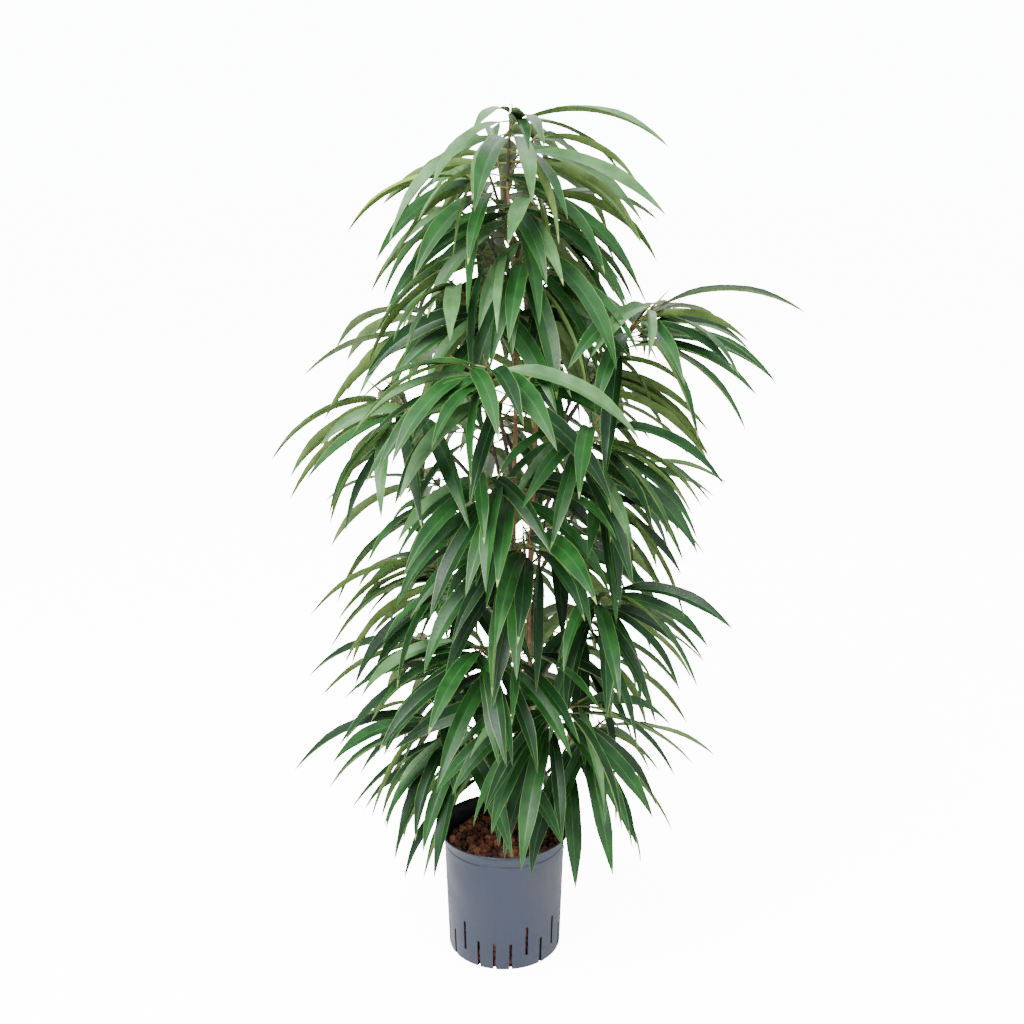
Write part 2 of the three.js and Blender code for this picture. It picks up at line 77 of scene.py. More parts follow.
class Draw:
    """Draws that come out the same every time, mixed from a whole number within one word of 32 bits."""

    WORD = 0xFFFFFFFF
    SCATTER = 2654435761
    STEP = 0x6D2B79F5
    MIX = 61
    SHIFTS = (15, 7, 14)

    def __init__(self, seed: int) -> None:
        """Start a row of draws from a whole number."""
        self.state = (int(seed) * self.SCATTER) & self.WORD

    def __call__(self) -> float:
        """Make the next draw.

        Returns:
            A number from 0 up to 1.
        """
        first, second, last = self.SHIFTS
        self.state = (self.state + self.STEP) & self.WORD
        word = ((self.state ^ (self.state >> first)) * (self.state | 1)) & self.WORD
        word ^= (word + (((word ^ (word >> second)) * (word | self.MIX)) & self.WORD)) & self.WORD
        return (word ^ (word >> last)) / (self.WORD + 1)

    def swayed(self, sway: float) -> float:
        """Return a step to either side, at most half of the sway."""
        return (self() - 0.5) * sway


def lerp(start: float, end: float, share: float) -> float:
    """Return the value at a share of the way from start to end."""
    return start + (end - start) * share


def clamp(value: float) -> float:
    """Return the value kept between 0 and 1."""
    return max(0.0, min(1.0, value))


def unit_at(turn: float) -> Vector:
    """Return the level unit vector at a turn from +X."""
    return Vector((math.cos(turn), math.sin(turn), 0.0))


def turns_round(sides: int) -> list[float]:
    """Return the turns of points that stand evenly round a ring."""
    return [2 * math.pi * side / sides for side in range(sides)]


def seed_of(strides: Sequence[int], *numbers: int) -> int:
    """Return one whole number for several, each times its stride."""
    return sum(stride * number for stride, number in zip(strides, numbers))


def between(rows: Sequence[Sequence[float]], height: float) -> Sequence[float]:
    """Read each column of a table at a height, in straight steps between its rows.

    Args:
        rows: The rows, each with its height first, from low to high.
        height: The height to read at.

    Returns:
        The columns' values at that height.
    """
    above = next((i for i, row in enumerate(rows) if row[0] >= height), None)
    if above is None:
        return rows[-1]
    if above == 0:
        return rows[0]
    low, high = rows[above - 1], rows[above]
    share = (height - low[0]) / (high[0] - low[0])
    return [lerp(value, other, share) for value, other in zip(low, high)]


# Curves


class Curve:
    """A path through space, read at shares of its way from 0 to 1."""

    STEP = 0.0001

    def point(self, share: float) -> Vector:
        """Return the point at a share of the way."""
        raise NotImplementedError

    def tangent(self, share: float) -> Vector:
        """Return the unit direction at a share of the way."""
        before, after = max(share - self.STEP, 0.0), min(share + self.STEP, 1.0)
        return (self.point(after) - self.point(before)).normalized()

    def length(self, chords: int = 200) -> float:
        """Return the length of the path, summed over its chords."""
        points = [self.point(i / chords) for i in range(chords + 1)]
        return sum((after - before).length for before, after in zip(points, points[1:]))


@dataclass
class Route(Curve):
    """A smooth path through a few points, at half tension."""

    points: list[Vector]

    def point(self, share: float) -> Vector:
        """Find the point at a share of the way.

        Args:
            share: The share, from 0 to 1.

        Returns:
            The point.
        """
        points = self.points
        last = len(points) - 1
        place = last * share
        i = min(int(place), last - 1)
        weight = place - i
        start, end = points[i], points[i + 1]
        before = points[i - 1] if i > 0 else start * 2 - end
        after = points[i + 2] if i + 2 <= last else end * 2 - start
        leave = (end - before) * 0.5
        reach = (after - start) * 0.5
        square = (end - start) * 3 - leave * 2 - reach
        cube = (start - end) * 2 + leave + reach
        return start + leave * weight + square * weight**2 + cube * weight**3


@dataclass
class Arc(Curve):
    """A simple bow from start to end, drawn to a middle point."""

    start: Vector
    middle: Vector
    end: Vector

    def point(self, share: float) -> Vector:
        """Return the point at a share of the way."""
        rest = 1 - share
        return self.start * rest**2 + self.middle * (2 * rest * share) + self.end * share**2


@dataclass
class Stretch(Curve):
    """Part of another curve, from one share of it to another."""

    curve: Curve
    low: float
    high: float

    def point(self, share: float) -> Vector:
        """Return the point at a share of the way."""
        return self.curve.point(lerp(self.low, self.high, share))


def ring_at(curve: Curve, share: float, radius: float, sides: int) -> list[Vector]:
    """Place a ring of points square to a curve.

    Args:
        curve: The curve.
        share: The share of its way where the ring stands.
        radius: The ring's radius.
        sides: The number of its points.

    Returns:
        The ring's points, in order round the curve.
    """
    centre = curve.point(share)
    tangent = curve.tangent(share)
    across = (RING_SIDE - tangent * RING_SIDE.dot(tangent)).normalized()
    other = across.cross(tangent)
    ways = [across * math.sin(turn) + other * math.cos(turn) for turn in turns_round(sides)]
    return [centre + way * radius for way in ways]


def numbered(rows: int, columns: int, first: int = 0) -> np.ndarray:
    """Return the numbers of the points of a row of rings."""
    return first + np.arange(rows * columns).reshape(rows, columns)


def faces_between(rows: int, columns: int, first: int = 0) -> list[Face]:
    """Join each ring of a row to the next by faces of four.

    Args:
        rows: The number of rings.
        columns: The number of each ring's points.
        first: The first point's number.

    Returns:
        The faces, as the numbers of their points.
    """
    at = numbered(rows, columns, first)
    after = np.roll(at, -1, axis=1)
    faces = np.stack([at[:-1], after[:-1], after[1:], at[1:]], axis=-1)
    return list(map(tuple, faces.reshape(-1, QUAD).tolist()))


# Guards: coarse closed shapes that growth is tested with


class Guard:
    """A coarse closed shape that stands for a limb, a leaf or the pot when growth is tested."""

    def __init__(self, points: list[Vector], faces: list[Face]) -> None:
        """Keep the shape's box and its search tree.

        Args:
            points: The shape's points.
            faces: The places of each face's points.
        """
        self.low = [min(point[axis] for point in points) for axis in range(3)]
        self.high = [max(point[axis] for point in points) for axis in range(3)]
        self.tree = bvhtree.BVHTree.FromPolygons(points, faces)

    @classmethod
    def from_rings(cls, rings: list[list[Vector]]) -> "Guard":
        """Close a row of rings into one shape.

        Args:
            rings: The rings' points, each ring as long as the next.

        Returns:
            The guard.
        """
        rows, columns = len(rings), len(rings[0])
        ends = [tuple(row.tolist()) for row in numbered(rows, columns)[[0, -1]]]
        return cls([point for ring in rings for point in ring], [*faces_between(rows, columns), *ends])

    @classmethod
    def from_node(cls, name: str) -> "Guard":
        """Make the guard of a solid of the frame, in millimetres.

        Args:
            name: The node's name.

        Returns:
            The guard.
        """
        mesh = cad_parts[name].data
        points = [vertex.co / MM for vertex in mesh.vertices]
        return cls(points, [tuple(face.vertices) for face in mesh.polygons])

    def meets(self, other: "Guard") -> bool:
        """Tell whether two shapes touch."""
        near = all(self.low[i] <= other.high[i] and other.low[i] <= self.high[i] for i in range(3))
        return near and bool(self.tree.overlap(other.tree))


def limb_guard(curve: Curve, radius_at: Shape, steps: int, sides: int) -> Guard:
    """Return the guard of a limb, a clearance wider than the limb."""
    shares = [step / steps for step in range(steps + 1)]
    return Guard.from_rings([ring_at(curve, share, radius_at(share) + CLEARANCE, sides) for share in shares])


@dataclass
class Place:
    """What holds a part of the crown's space: a whole shape, and a leaf's blade where it is one."""

    owner: str
    whole: Guard
    blade: Optional[Guard] = None


class Space:
    """The space that the plant holds so far."""

    def __init__(self) -> None:
        """Start with nothing."""
        self.taken: list[Place] = []

    def add(self, place: Place) -> None:
        """Hold one more place."""
        self.taken.append(place)

    def is_clear(self, place: Place) -> bool:
        """Tell whether a place is free.

        Within one shoot only the blades of its leaves keep clear, as twigs and petioles join there.

        Args:
            place: The place to test.

        Returns:
            True where it meets nothing that it has to keep clear of.
        """
        for other in self.taken:
            if other.owner != place.owner:
                if place.whole.meets(other.whole):
                    return False
            elif place.blade and place.blade.meets(other.blade or other.whole):
                return False
        return True


# Growth: the rule of the solids, and then its finer twigs and leaves


@dataclass
class StemRule:
    """One stem's route: across, to the back, up, and the radius there."""

    name: str
    rows: Sequence[Sequence[float]]
    sides: int
    steps: int

    HALVINGS = 40

    def __post_init__(self) -> None:
        """Lay the stem's curve through its rows."""
        self.curve = Route([Vector(row[:3]) for row in self.rows])
        self.radii = [(row[2], row[3]) for row in self.rows]

    def radius_along(self, curve: Curve, share: float) -> float:
        """Return the stem's radius at a share of a curve that follows it."""
        return between(self.radii, curve.point(share).z)[1]

    def share_at(self, height: float) -> float:
        """Find where the stem reaches a height, by halving the span of the search.

        Args:
            height: The height.

        Returns:
            The share of the stem's curve.
        """
        low, high = 0.0, 1.0
        for _ in range(self.HALVINGS):
            middle = (low + high) / 2
            if self.curve.point(middle).z < height:
                low = middle
            else:
                high = middle
        return low

    def guard(self) -> Guard:
        """Return the stem's guard."""
        return limb_guard(self.curve, partial(self.radius_along, self.curve), self.steps, self.sides)


@dataclass
class Twig:
    """A twig that carries leaves: its curve, the way it faces and how far its leaves hang."""

    number: int
    curve: Curve
    turn: float
    hang: float
    leaves: int
    steps: int
    radius: float
    is_late: bool = False


@dataclass
class Leaf:
    """One leaf: where it is rooted, how it is turned, its lifts at root and tip, and its sway."""

    root: Vector
    turn: float
    start_lift: float
    end_lift: float
    bend: float
    roll: float
    length: float
    is_tip: bool = False

    def lift(self, along: float) -> float:
        """Return the lift of the leaf's line over level at a share of its length."""
        return lerp(self.start_lift, self.end_lift, along)

    def centre(self, along: float) -> Vector:
        """Find the point of the leaf's line at a share of its length.

        Args:
            along: The share of the leaf's length.

        Returns:
            The point.
        """
        fall = self.end_lift - self.start_lift
        lift = self.lift(along)
        forward = self.length * (math.sin(lift) - math.sin(self.start_lift)) / fall
        up = self.length * (math.cos(self.start_lift) - math.cos(lift)) / fall
        sideways = self.length * self.bend * along * along / 2
        level = unit_at(self.turn) * forward + unit_at(self.turn + math.pi / 2) * sideways
        return self.root + level + UP * up

    def axes(self, along: float, twist: float = 0.0) -> tuple[Vector, Vector, Vector]:
        """Return the leaf's own directions at a share of its length.

        Args:
            along: The share of the leaf's length.
            twist: How far the blade is turned further round its line there.

        Returns:
            The directions along, across and under the blade.
        """
        lift = self.lift(along)
        tangent = unit_at(self.turn) * math.cos(lift) + UP * math.sin(lift)
        turned = Matrix.Rotation(self.roll + twist, 3, tangent)
        across = turned @ unit_at(self.turn + math.pi / 2)
        return tangent, across, across.cross(tangent)


@dataclass
class Shoot:
    """One shoot of the spiral: its path from a stem, its bough where it has one, its twigs and leaves."""

    index: int
    stem: StemRule
    turn: float
    hang: float
    path: Curve
    bough: Optional[Curve] = None
    twigs: list[Twig] = field(default_factory=list)
    leaves: list[Leaf] = field(default_factory=list)

    @property
    def owner(self) -> str:
        """Return the name that the shoot's places are held under."""
        return f"shoot {self.index}"


@dataclass(frozen=True)
class Sway:
    """A value for spread leaves, one for hanging leaves, and how far a draw sways them."""

    spread: float
    hanging: float
    sway: float

    def at(self, droop: float, draw: Draw) -> float:
        """Return the value at a droop from 0 to 1, swayed by a draw."""
        return lerp(self.spread, self.hanging, droop) + draw.swayed(self.sway)


@dataclass
class LeafRule:
    """How leaves are placed and shaped, in millimetres and radians."""

    per_shoot: int = 7
    per_twig: int = 3
    first: float = 0.28
    last: float = 0.95
    length: float = 190.0
    spread: float = 0.14
    youngest: float = 0.8
    half_width: float = 0.073
    scale: float = 2.6
    swell: float = 0.5
    taper: float = 0.85
    thickness: float = 0.0125
    petiole: float = 0.09
    petiole_radius: float = 0.95
    rings: tuple[float, ...] = (0.0, 0.36, 0.68, 1.0)
    blade_rings: tuple[float, ...] = (0.34, 0.5, 0.75, 1.0)
    lowest: float = 55.0
    guard: float = 0.25
    tries: int = 8
    try_turn: float = 0.4
    around_first: float = 0.8
    around_share: float = 0.8
    around_sway: float = 0.5
    inward: float = 0.5
    low: float = 0.35
    hang_sway: float = 0.4
    root: Sway = Sway(0.7, -0.6, 0.2)
    tip: Sway = Sway(-0.45, -1.48, 0.2)
    bend_sway: float = 0.3
    roll_around: float = 0.55
    roll_sway: float = 1.1
    far: float = 4.0
    kept: float = 0.94
    thin_seed: int = 155
    finer_length: float = 0.95

    KEEL_SIDES = 3
    KEEL_RISE = 0.5

    def width_at(self, along: float) -> float:
        """Return half the blade's width at a share of the leaf's length, as a share of the widest."""
        blade = clamp((along - self.petiole) / (1 - self.petiole))
        return min(1.0, self.scale * blade**self.swell * (1 - blade) ** self.taper)

    def leaf_at(self, twig: Twig, along: float, order: float, draw: Draw) -> Leaf:
        """Lay out a leaf, turned round its twig by the golden angle and drooping more where it faces in.

        Args:
            twig: The twig that carries it.
            along: The share of the twig where it is rooted.
            order: Its place in the row of leaves.
            draw: The draws that sway it.

        Returns:
            The leaf.
        """
        golden = (order * GOLDEN_ANGLE + self.around_first) % (2 * math.pi)
        aside = (golden - math.pi) * self.around_share + draw.swayed(self.around_sway)
        inward = abs(aside) / math.pi
        weight = twig.hang + self.inward * inward + self.low * (1 - along)
        droop = clamp(weight + draw.swayed(self.hang_sway))
        is_tip = along == self.last
        start_lift = self.root.at(droop, draw)
        end_lift = self.tip.at(droop, draw)
        bend = draw.swayed(self.bend_sway)
        roll = self.roll_around * math.sin(aside) + draw.swayed(self.roll_sway)
        length = self.length * (self.youngest if is_tip else 1.0) * (1 + draw.swayed(2 * self.spread))
        root = twig.curve.point(along)
        return Leaf(root, twig.turn + aside, start_lift, end_lift, bend, roll, length, is_tip=is_tip)

    def guard_of(self, leaf: Leaf, shares: Sequence[float]) -> Guard:
        """Make the coarse keeled shape that a leaf is tested with.

        Args:
            leaf: The leaf.
            shares: The shares of its length where the shape has rings.

        Returns:
            The guard.
        """
        rings = []
        for along in shares:
            centre = leaf.centre(along)
            _, across, under = leaf.axes(along)
            half = leaf.length * self.half_width * self.width_at(along) + self.guard
            keel = leaf.length * self.thickness + self.guard
            ring = []
            for turn in turns_round(self.KEEL_SIDES):
                x, z = math.sin(turn), math.cos(turn)
                if along == 0:
                    ring.append(centre + (across * x + under * z) * self.petiole_radius)
                elif along == 1:
                    ring.append(centre.copy())
                else:
                    wide = across * (x / math.sin(math.pi / self.KEEL_SIDES) * half)
                    deep = (z + self.KEEL_RISE) / (1 + self.KEEL_RISE) * keel - self.guard
                    ring.append(centre + wide + under * deep)
            rings.append(ring)
        return Guard.from_rings(rings)


@dataclass
class ShootRule:
    """The spiral of shoots, their boughs and their side twigs, in millimetres and radians.

    Each row of the reach holds a height, the reach to the left and to the right there, and the hang.
    """

    count: int = 31
    top: float = 1108.0
    bottom: float = 306.0
    lowest_foot: float = 198.0
    foot_gap: float = 6.0
    first_turn: float = -0.5
    turn_spread: float = 0.2
    nudges: tuple[float, ...] = (0, 0.2, -0.2, 0.4, -0.4, 0.7, -0.7, 1, -1)
    reach_spread: float = 0.08
    length: float = 113.0
    lift: float = math.radians(50)
    bow: float = 0.1
    radius: float = 3.0
    tip_radius: float = 2.3
    steps: int = 3
    side_from: float = 0.2
    side_gap: float = 0.28
    side_length: float = 0.5
    side_spread: float = 0.15
    side_turn: float = 1.05
    side_out: float = 0.72
    side_up: float = 0.62
    side_bow: float = 0.06
    side_steps: int = 2
    bough_radius: float = 3.2
    bough_tip_radius: float = 2.6
    bough_sides: int = 5
    bough_steps: int = 3
    bough_shortest: float = 40.0
    reach: tuple[tuple[float, float, float, float], ...] = (
        (305, 98, 122, 0.5),
        (350, 104, 134, 0.4),
        (435, 118, 160, 0.25),
        (525, 108, 150, 0.3),
        (625, 98, 146, 0.3),
        (725, 120, 154, 0.3),
        (795, 164, 150, 0.25),
        (865, 130, 170, 0.25),
        (905, 84, 190, 0.1),
        (945, 36, 60, 0.5),
        (1000, 36, 36, 0.45),
        (1045, 56, 46, 0.25),
        (1112, 8, 8, 0.1),
    )


@dataclass
class StubRule:
    """The dry end that was pruned back, on top of the side stem."""

    rise: float = 12.0
    lean: Triple = (26, -6, 50)
    radius: float = 2.6
    tip_radius: float = 1.8
    sides: int = 6
    steps: int = 4

    def curve_on(self, stem: StemRule) -> Arc:
        """Lay the stub's curve, which rises on the stem's line and then leans over.

        Args:
            stem: The stem that carries the stub.

        Returns:
            The curve.
        """
        tangent = stem.curve.tangent(1)
        start = stem.curve.point(1) + tangent * CLEARANCE
        return Arc(start, start + tangent * self.rise, start + Vector(self.lean))

    def guard_on(self, stem: StemRule) -> Guard:
        """Return the stub's guard on a stem."""
        radius_at = partial(lerp, self.radius, self.tip_radius)
        return limb_guard(self.curve_on(stem), radius_at, self.steps, self.sides)


class Growth:
    """Grows the crown: limbs first, then the leaves in turn, each skipped where it would touch."""

    SHOOT_SEEDS = (1000, 1)
    TWIG_SEEDS = (2000, 10, 1)
    LEAF_SEEDS = (5000, 100, 30, 1)
    THIN_SEEDS = (10007, 100, 1)
    TWIG_SIDES = 3
    TWIG_ORDER = 3

    def __init__(
        self, stems: list[StemRule], shoots: ShootRule, leaves: LeafRule, stub: StubRule, seed: int
    ) -> None:
        """Start with the stems, the stub, the pot and its fill.

        Args:
            stems: The main stem and the side stem.
            shoots: The rule of the shoots.
            leaves: The rule of the leaves.
            stub: The rule of the dry stub.
            seed: The number that all draws start from.
        """
        self.stems = stems
        self.shoots = shoots
        self.leaf_rule = leaves
        self.seed = seed
        self.space = Space()
        self.space.add(Place("pot", Guard.from_node("pot")))
        self.space.add(Place("fill", Guard.from_node("granule_fill")))
        for stem in stems:
            self.space.add(Place(stem.name, stem.guard()))
        self.space.add(Place("stub", stub.guard_on(stems[1])))
        self.crown: list[Shoot] = []

    def plan_shoot(self, index: int, nudge: float) -> Shoot:
        """Lay out one shoot of the spiral.

        Args:
            index: Its place in the spiral, from the top.
            nudge: A turn added where the first one isn't clear.

        Returns:
            The shoot, with no limbs yet.
        """
        rule = self.shoots
        draw = Draw(seed_of(self.SHOOT_SEEDS, self.seed, index))
        height = lerp(rule.top, rule.bottom, index / (rule.count - 1))
        turn = rule.first_turn + index * GOLDEN_ANGLE + draw.swayed(rule.turn_spread) + nudge
        _, left, right, hang = between(rule.reach, height)
        facing = lerp(left, right, (1 + math.cos(turn)) / 2)
        reach = facing * (1 + draw.swayed(2 * rule.reach_spread))
        tip = unit_at(turn) * reach + UP * height
        short_rise = math.sqrt(max(rule.length**2 - reach**2, 0))
        rise = max(reach * math.tan(rule.lift), short_rise)
        foot = max(height - rise, rule.lowest_foot + rule.foot_gap * (rule.count - index))
        stems = [stem for stem in self.stems if stem.curve.point(1).z > foot]
        starts = [(stem.curve.point(stem.share_at(foot)), stem) for stem in stems]
        start, stem = min(starts, key=lambda pair: (pair[0] - tip).length)
        if index == 0:
            start = stem.curve.point(1)
        middle = start.lerp(tip, 0.5) + UP * (rule.bow * (start - tip).length)
        return Shoot(index, stem, turn, hang, Arc(start, middle, tip))

    def plan_limbs(self, shoot: Shoot) -> None:
        """Split a shoot's path into its bough, where it is long enough for one, and its twig.

        Args:
            shoot: The shoot.
        """
        rule = self.shoots
        length = shoot.path.length()
        split = 1 - rule.length / length
        has_bough = split * length > rule.bough_shortest
        starts_free = has_bough or shoot.index == 0
        low = (split if has_bough else 0) + (CLEARANCE / length if starts_free else 0)
        curve = Stretch(shoot.path, low, 1)
        shoot.bough = Stretch(shoot.path, 0, split) if has_bough else None
        leaves = self.leaf_rule.per_shoot
        shoot.twigs = [Twig(0, curve, shoot.turn, shoot.hang, leaves, rule.steps, rule.radius)]

    def twig_guard(self, twig: Twig) -> Guard:
        """Return a twig's guard."""
        radius_at = partial(lerp, twig.radius, self.shoots.tip_radius)
        return limb_guard(twig.curve, radius_at, twig.steps, self.TWIG_SIDES)

    def bough_guard(self, curve: Curve) -> Guard:
        """Return a bough's guard."""
        radius_at = partial(lerp, self.shoots.bough_radius, self.shoots.bough_tip_radius)
        return limb_guard(curve, radius_at, self.shoots.bough_steps, self.shoots.bough_sides)

    def grow_shoot(self, index: int) -> None:
        """Grow one shoot's limbs, at the first turn where they are clear of all but their own stem.

        Args:
            index: The shoot's place in the spiral, from the top.
        """
        for nudge in self.shoots.nudges:
            shoot = self.plan_shoot(index, nudge)
            self.plan_limbs(shoot)
            places = [Place(shoot.owner, self.twig_guard(shoot.twigs[0]))]
            if shoot.bough:
                places.append(Place(f"bough {index}", self.bough_guard(shoot.bough)))
            if all(self.space.is_clear(Place(shoot.stem.name, place.whole)) for place in places):
                for place in places:
                    self.space.add(place)
                self.crown.append(shoot)
                return

    def grow_side_twig(self, shoot: Shoot, number: int, is_late: bool = False) -> None:
        """Grow a side twig, the first to one hand and the next to the other, where it is clear.

        Args:
            shoot: The shoot that it leaves.
            number: The side twig's number, from 1.
            is_late: Whether it belongs to the finer growth.
        """
        rule = self.shoots
        draw = Draw(seed_of(self.TWIG_SEEDS, self.seed, shoot.index, number))
        start = shoot.twigs[0].curve.point(rule.side_from + rule.side_gap * (number - 1))
        hand = -1 if number % 2 == 0 else 1
        turn = shoot.turn + hand * rule.side_turn * (1 + draw.swayed(rule.side_spread * 2))
        length = rule.length * rule.side_length * (1 + draw.swayed(rule.side_spread * 2))
        end = start + unit_at(turn) * (length * rule.side_out) + UP * (length * rule.side_up)
        middle = start.lerp(end, 0.5) + UP * (length * rule.side_bow)
        leaves = self.leaf_rule.per_twig
        curve = Arc(start, middle, end)
        twig = Twig(number, curve, turn, shoot.hang, leaves, rule.side_steps, rule.tip_radius, is_late)
        place = Place(shoot.owner, self.twig_guard(twig))
        if self.space.is_clear(place):
            self.space.add(place)
            shoot.twigs.append(twig)

    def grow_leaf(self, shoot: Shoot, twig: Twig, order: int, share: float) -> None:
        """Grow one leaf, tried at a few turns until it is clear of all the rest.

        Args:
            shoot: The shoot.
            twig: The shoot's twig that carries the leaf.
            order: The leaf's place in the row of the twig's leaves.
            share: The share of the way from the twig's last leaf to its first one.
        """
        rule = self.leaf_rule
        draw = Draw(seed_of(self.LEAF_SEEDS, self.seed, shoot.index, twig.number, order))
        along = lerp(rule.last, rule.first, share)
        for attempt in range(rule.tries):
            turned = order + twig.number * self.TWIG_ORDER + attempt * rule.try_turn
            leaf = rule.leaf_at(twig, along, turned, draw)
            whole = rule.guard_of(leaf, rule.rings)
            if whole.low[2] <= rule.lowest:
                continue
            place = Place(shoot.owner, whole, rule.guard_of(leaf, rule.blade_rings))
            if self.space.is_clear(place):
                self.space.add(place)
                shoot.leaves.append(leaf)
                return

    def grow_first(self) -> None:
        """Grow what the solids have: the shoots, a side twig on each, and their leaves."""
        for index in range(self.shoots.count):
            self.grow_shoot(index)
        for shoot in self.crown:
            self.grow_side_twig(shoot, 1)
        for order in range(self.leaf_rule.per_shoot):
            for shoot in self.crown:
                for twig in shoot.twigs:
                    if order < twig.leaves:
                        self.grow_leaf(shoot, twig, order, order / (twig.leaves - 1))

    def reach(self) -> tuple[list[float], list[float]]:
        """Find the box round all leaves.

        Returns:
            Its lowest and its highest corner.
        """
        rule = self.leaf_rule
        leaves = [leaf for shoot in self.crown for leaf in shoot.leaves]
        guards = [rule.guard_of(leaf, rule.rings) for leaf in leaves]
        low = [min(guard.low[axis] for guard in guards) for axis in range(3)]
        return low, [max(guard.high[axis] for guard in guards) for axis in range(3)]

    def grow_finer(self) -> None:
        """Carry the crown on: one more side twig on each shoot, and leaves between the first ones."""
        for shoot in self.crown:
            self.grow_side_twig(shoot, 2, is_late=True)
        for order in range(2 * self.leaf_rule.per_shoot):
            for shoot in self.crown:
                for twig in shoot.twigs:
                    if twig.is_late and order <= twig.leaves:
                        self.grow_leaf(shoot, twig, order, order / twig.leaves)
                    elif not twig.is_late and twig.leaves <= order < 2 * twig.leaves - 1:
                        share = (order - twig.leaves + 0.5) / (twig.leaves - 1)
                        self.grow_leaf(shoot, twig, order, share)

    def thin(self, firsts: Sequence[int], low: Sequence[float], high: Sequence[float]) -> None:
        """Drop some of the finer leaves, dealt out by draws, so that the sky shows between the rest.

        Args:
            firsts: How many first leaves each shoot has, which all stay.
            low: The lowest corner of the first leaves' box.
            high: The highest corner of that box. Finer leaves that pass it stay too.
        """
        rule = self.leaf_rule
        for place, (shoot, first) in enumerate(zip(self.crown, firsts)):
            kept = shoot.leaves[:first]
            for order, leaf in enumerate(shoot.leaves[first:], first):
                guard = rule.guard_of(leaf, rule.rings)
                is_lower = any(guard.low[axis] < low[axis] - rule.far for axis in range(3))
                is_higher = any(guard.high[axis] > high[axis] + rule.far for axis in range(3))
                if is_lower or is_higher:
                    kept.append(leaf)
                elif Draw(seed_of(self.THIN_SEEDS, rule.thin_seed, place, order))() < rule.kept:
                    leaf.length *= rule.finer_length
                    kept.append(leaf)
            shoot.leaves = kept


# Nodes


def socket_of(sockets: Sequence[Socket], key: object) -> Socket:
    """Return the socket with an identifier, or else the one at a name or a number."""
    return next((socket for socket in sockets if socket.identifier == key), None) or sockets[key]


class NodeLayout:
    """Adds nodes to a tree, each with its options and with what goes into its sockets."""

    def __init__(self, tree: bpy.types.NodeTree) -> None:
        """Lay out nodes in a tree."""
        self.tree = tree

    def node(self, kind: str, given: Optional[dict] = None, **options: object) -> bpy.types.Node:
        """Add a node.

        Args:
            kind: The node's type.
            given: What goes into its sockets, by identifier, name or number.
            options: The node's own options.

        Returns:
            The node.
        """
        made = self.tree.nodes.new(kind)
        for key, value in options.items():
            setattr(made, key, value)
        for key, value in (given or {}).items():
            self.feed(socket_of(made.inputs, key), value)
        return made

    def feed(self, socket: Socket, value: object) -> None:
        """Give a socket what goes into it.

        Args:
            socket: The socket.
            value: Another socket to link it to, or a plain value.
        """
        if isinstance(value, Socket):
            self.tree.links.new(value, socket)
        else:
            socket.default_value = value


# Finishes

SCREEN_KNEE = 0.04045
SCREEN_SLOPE = 12.92
SCREEN_LIFT = 0.055
SCREEN_POWER = 2.4
SCREEN_TOP = 255
NOISE_RANGE = (0.3, 0.7)


def linear_share(value: int) -> float:
    """Turn one screen value into the shader's linear one.

    Args:
        value: The screen value, from 0 to 255.

    Returns:
        The linear value, from 0 to 1.
    """
    share = value / SCREEN_TOP
    if share <= SCREEN_KNEE:
        return share / SCREEN_SLOPE
    return ((share + SCREEN_LIFT) / (1 + SCREEN_LIFT)) ** SCREEN_POWER


def linear(colour: Colour) -> tuple[float, ...]:
    """Return a screen colour as the shader's linear one."""
    return (*map(linear_share, colour), 1.0)


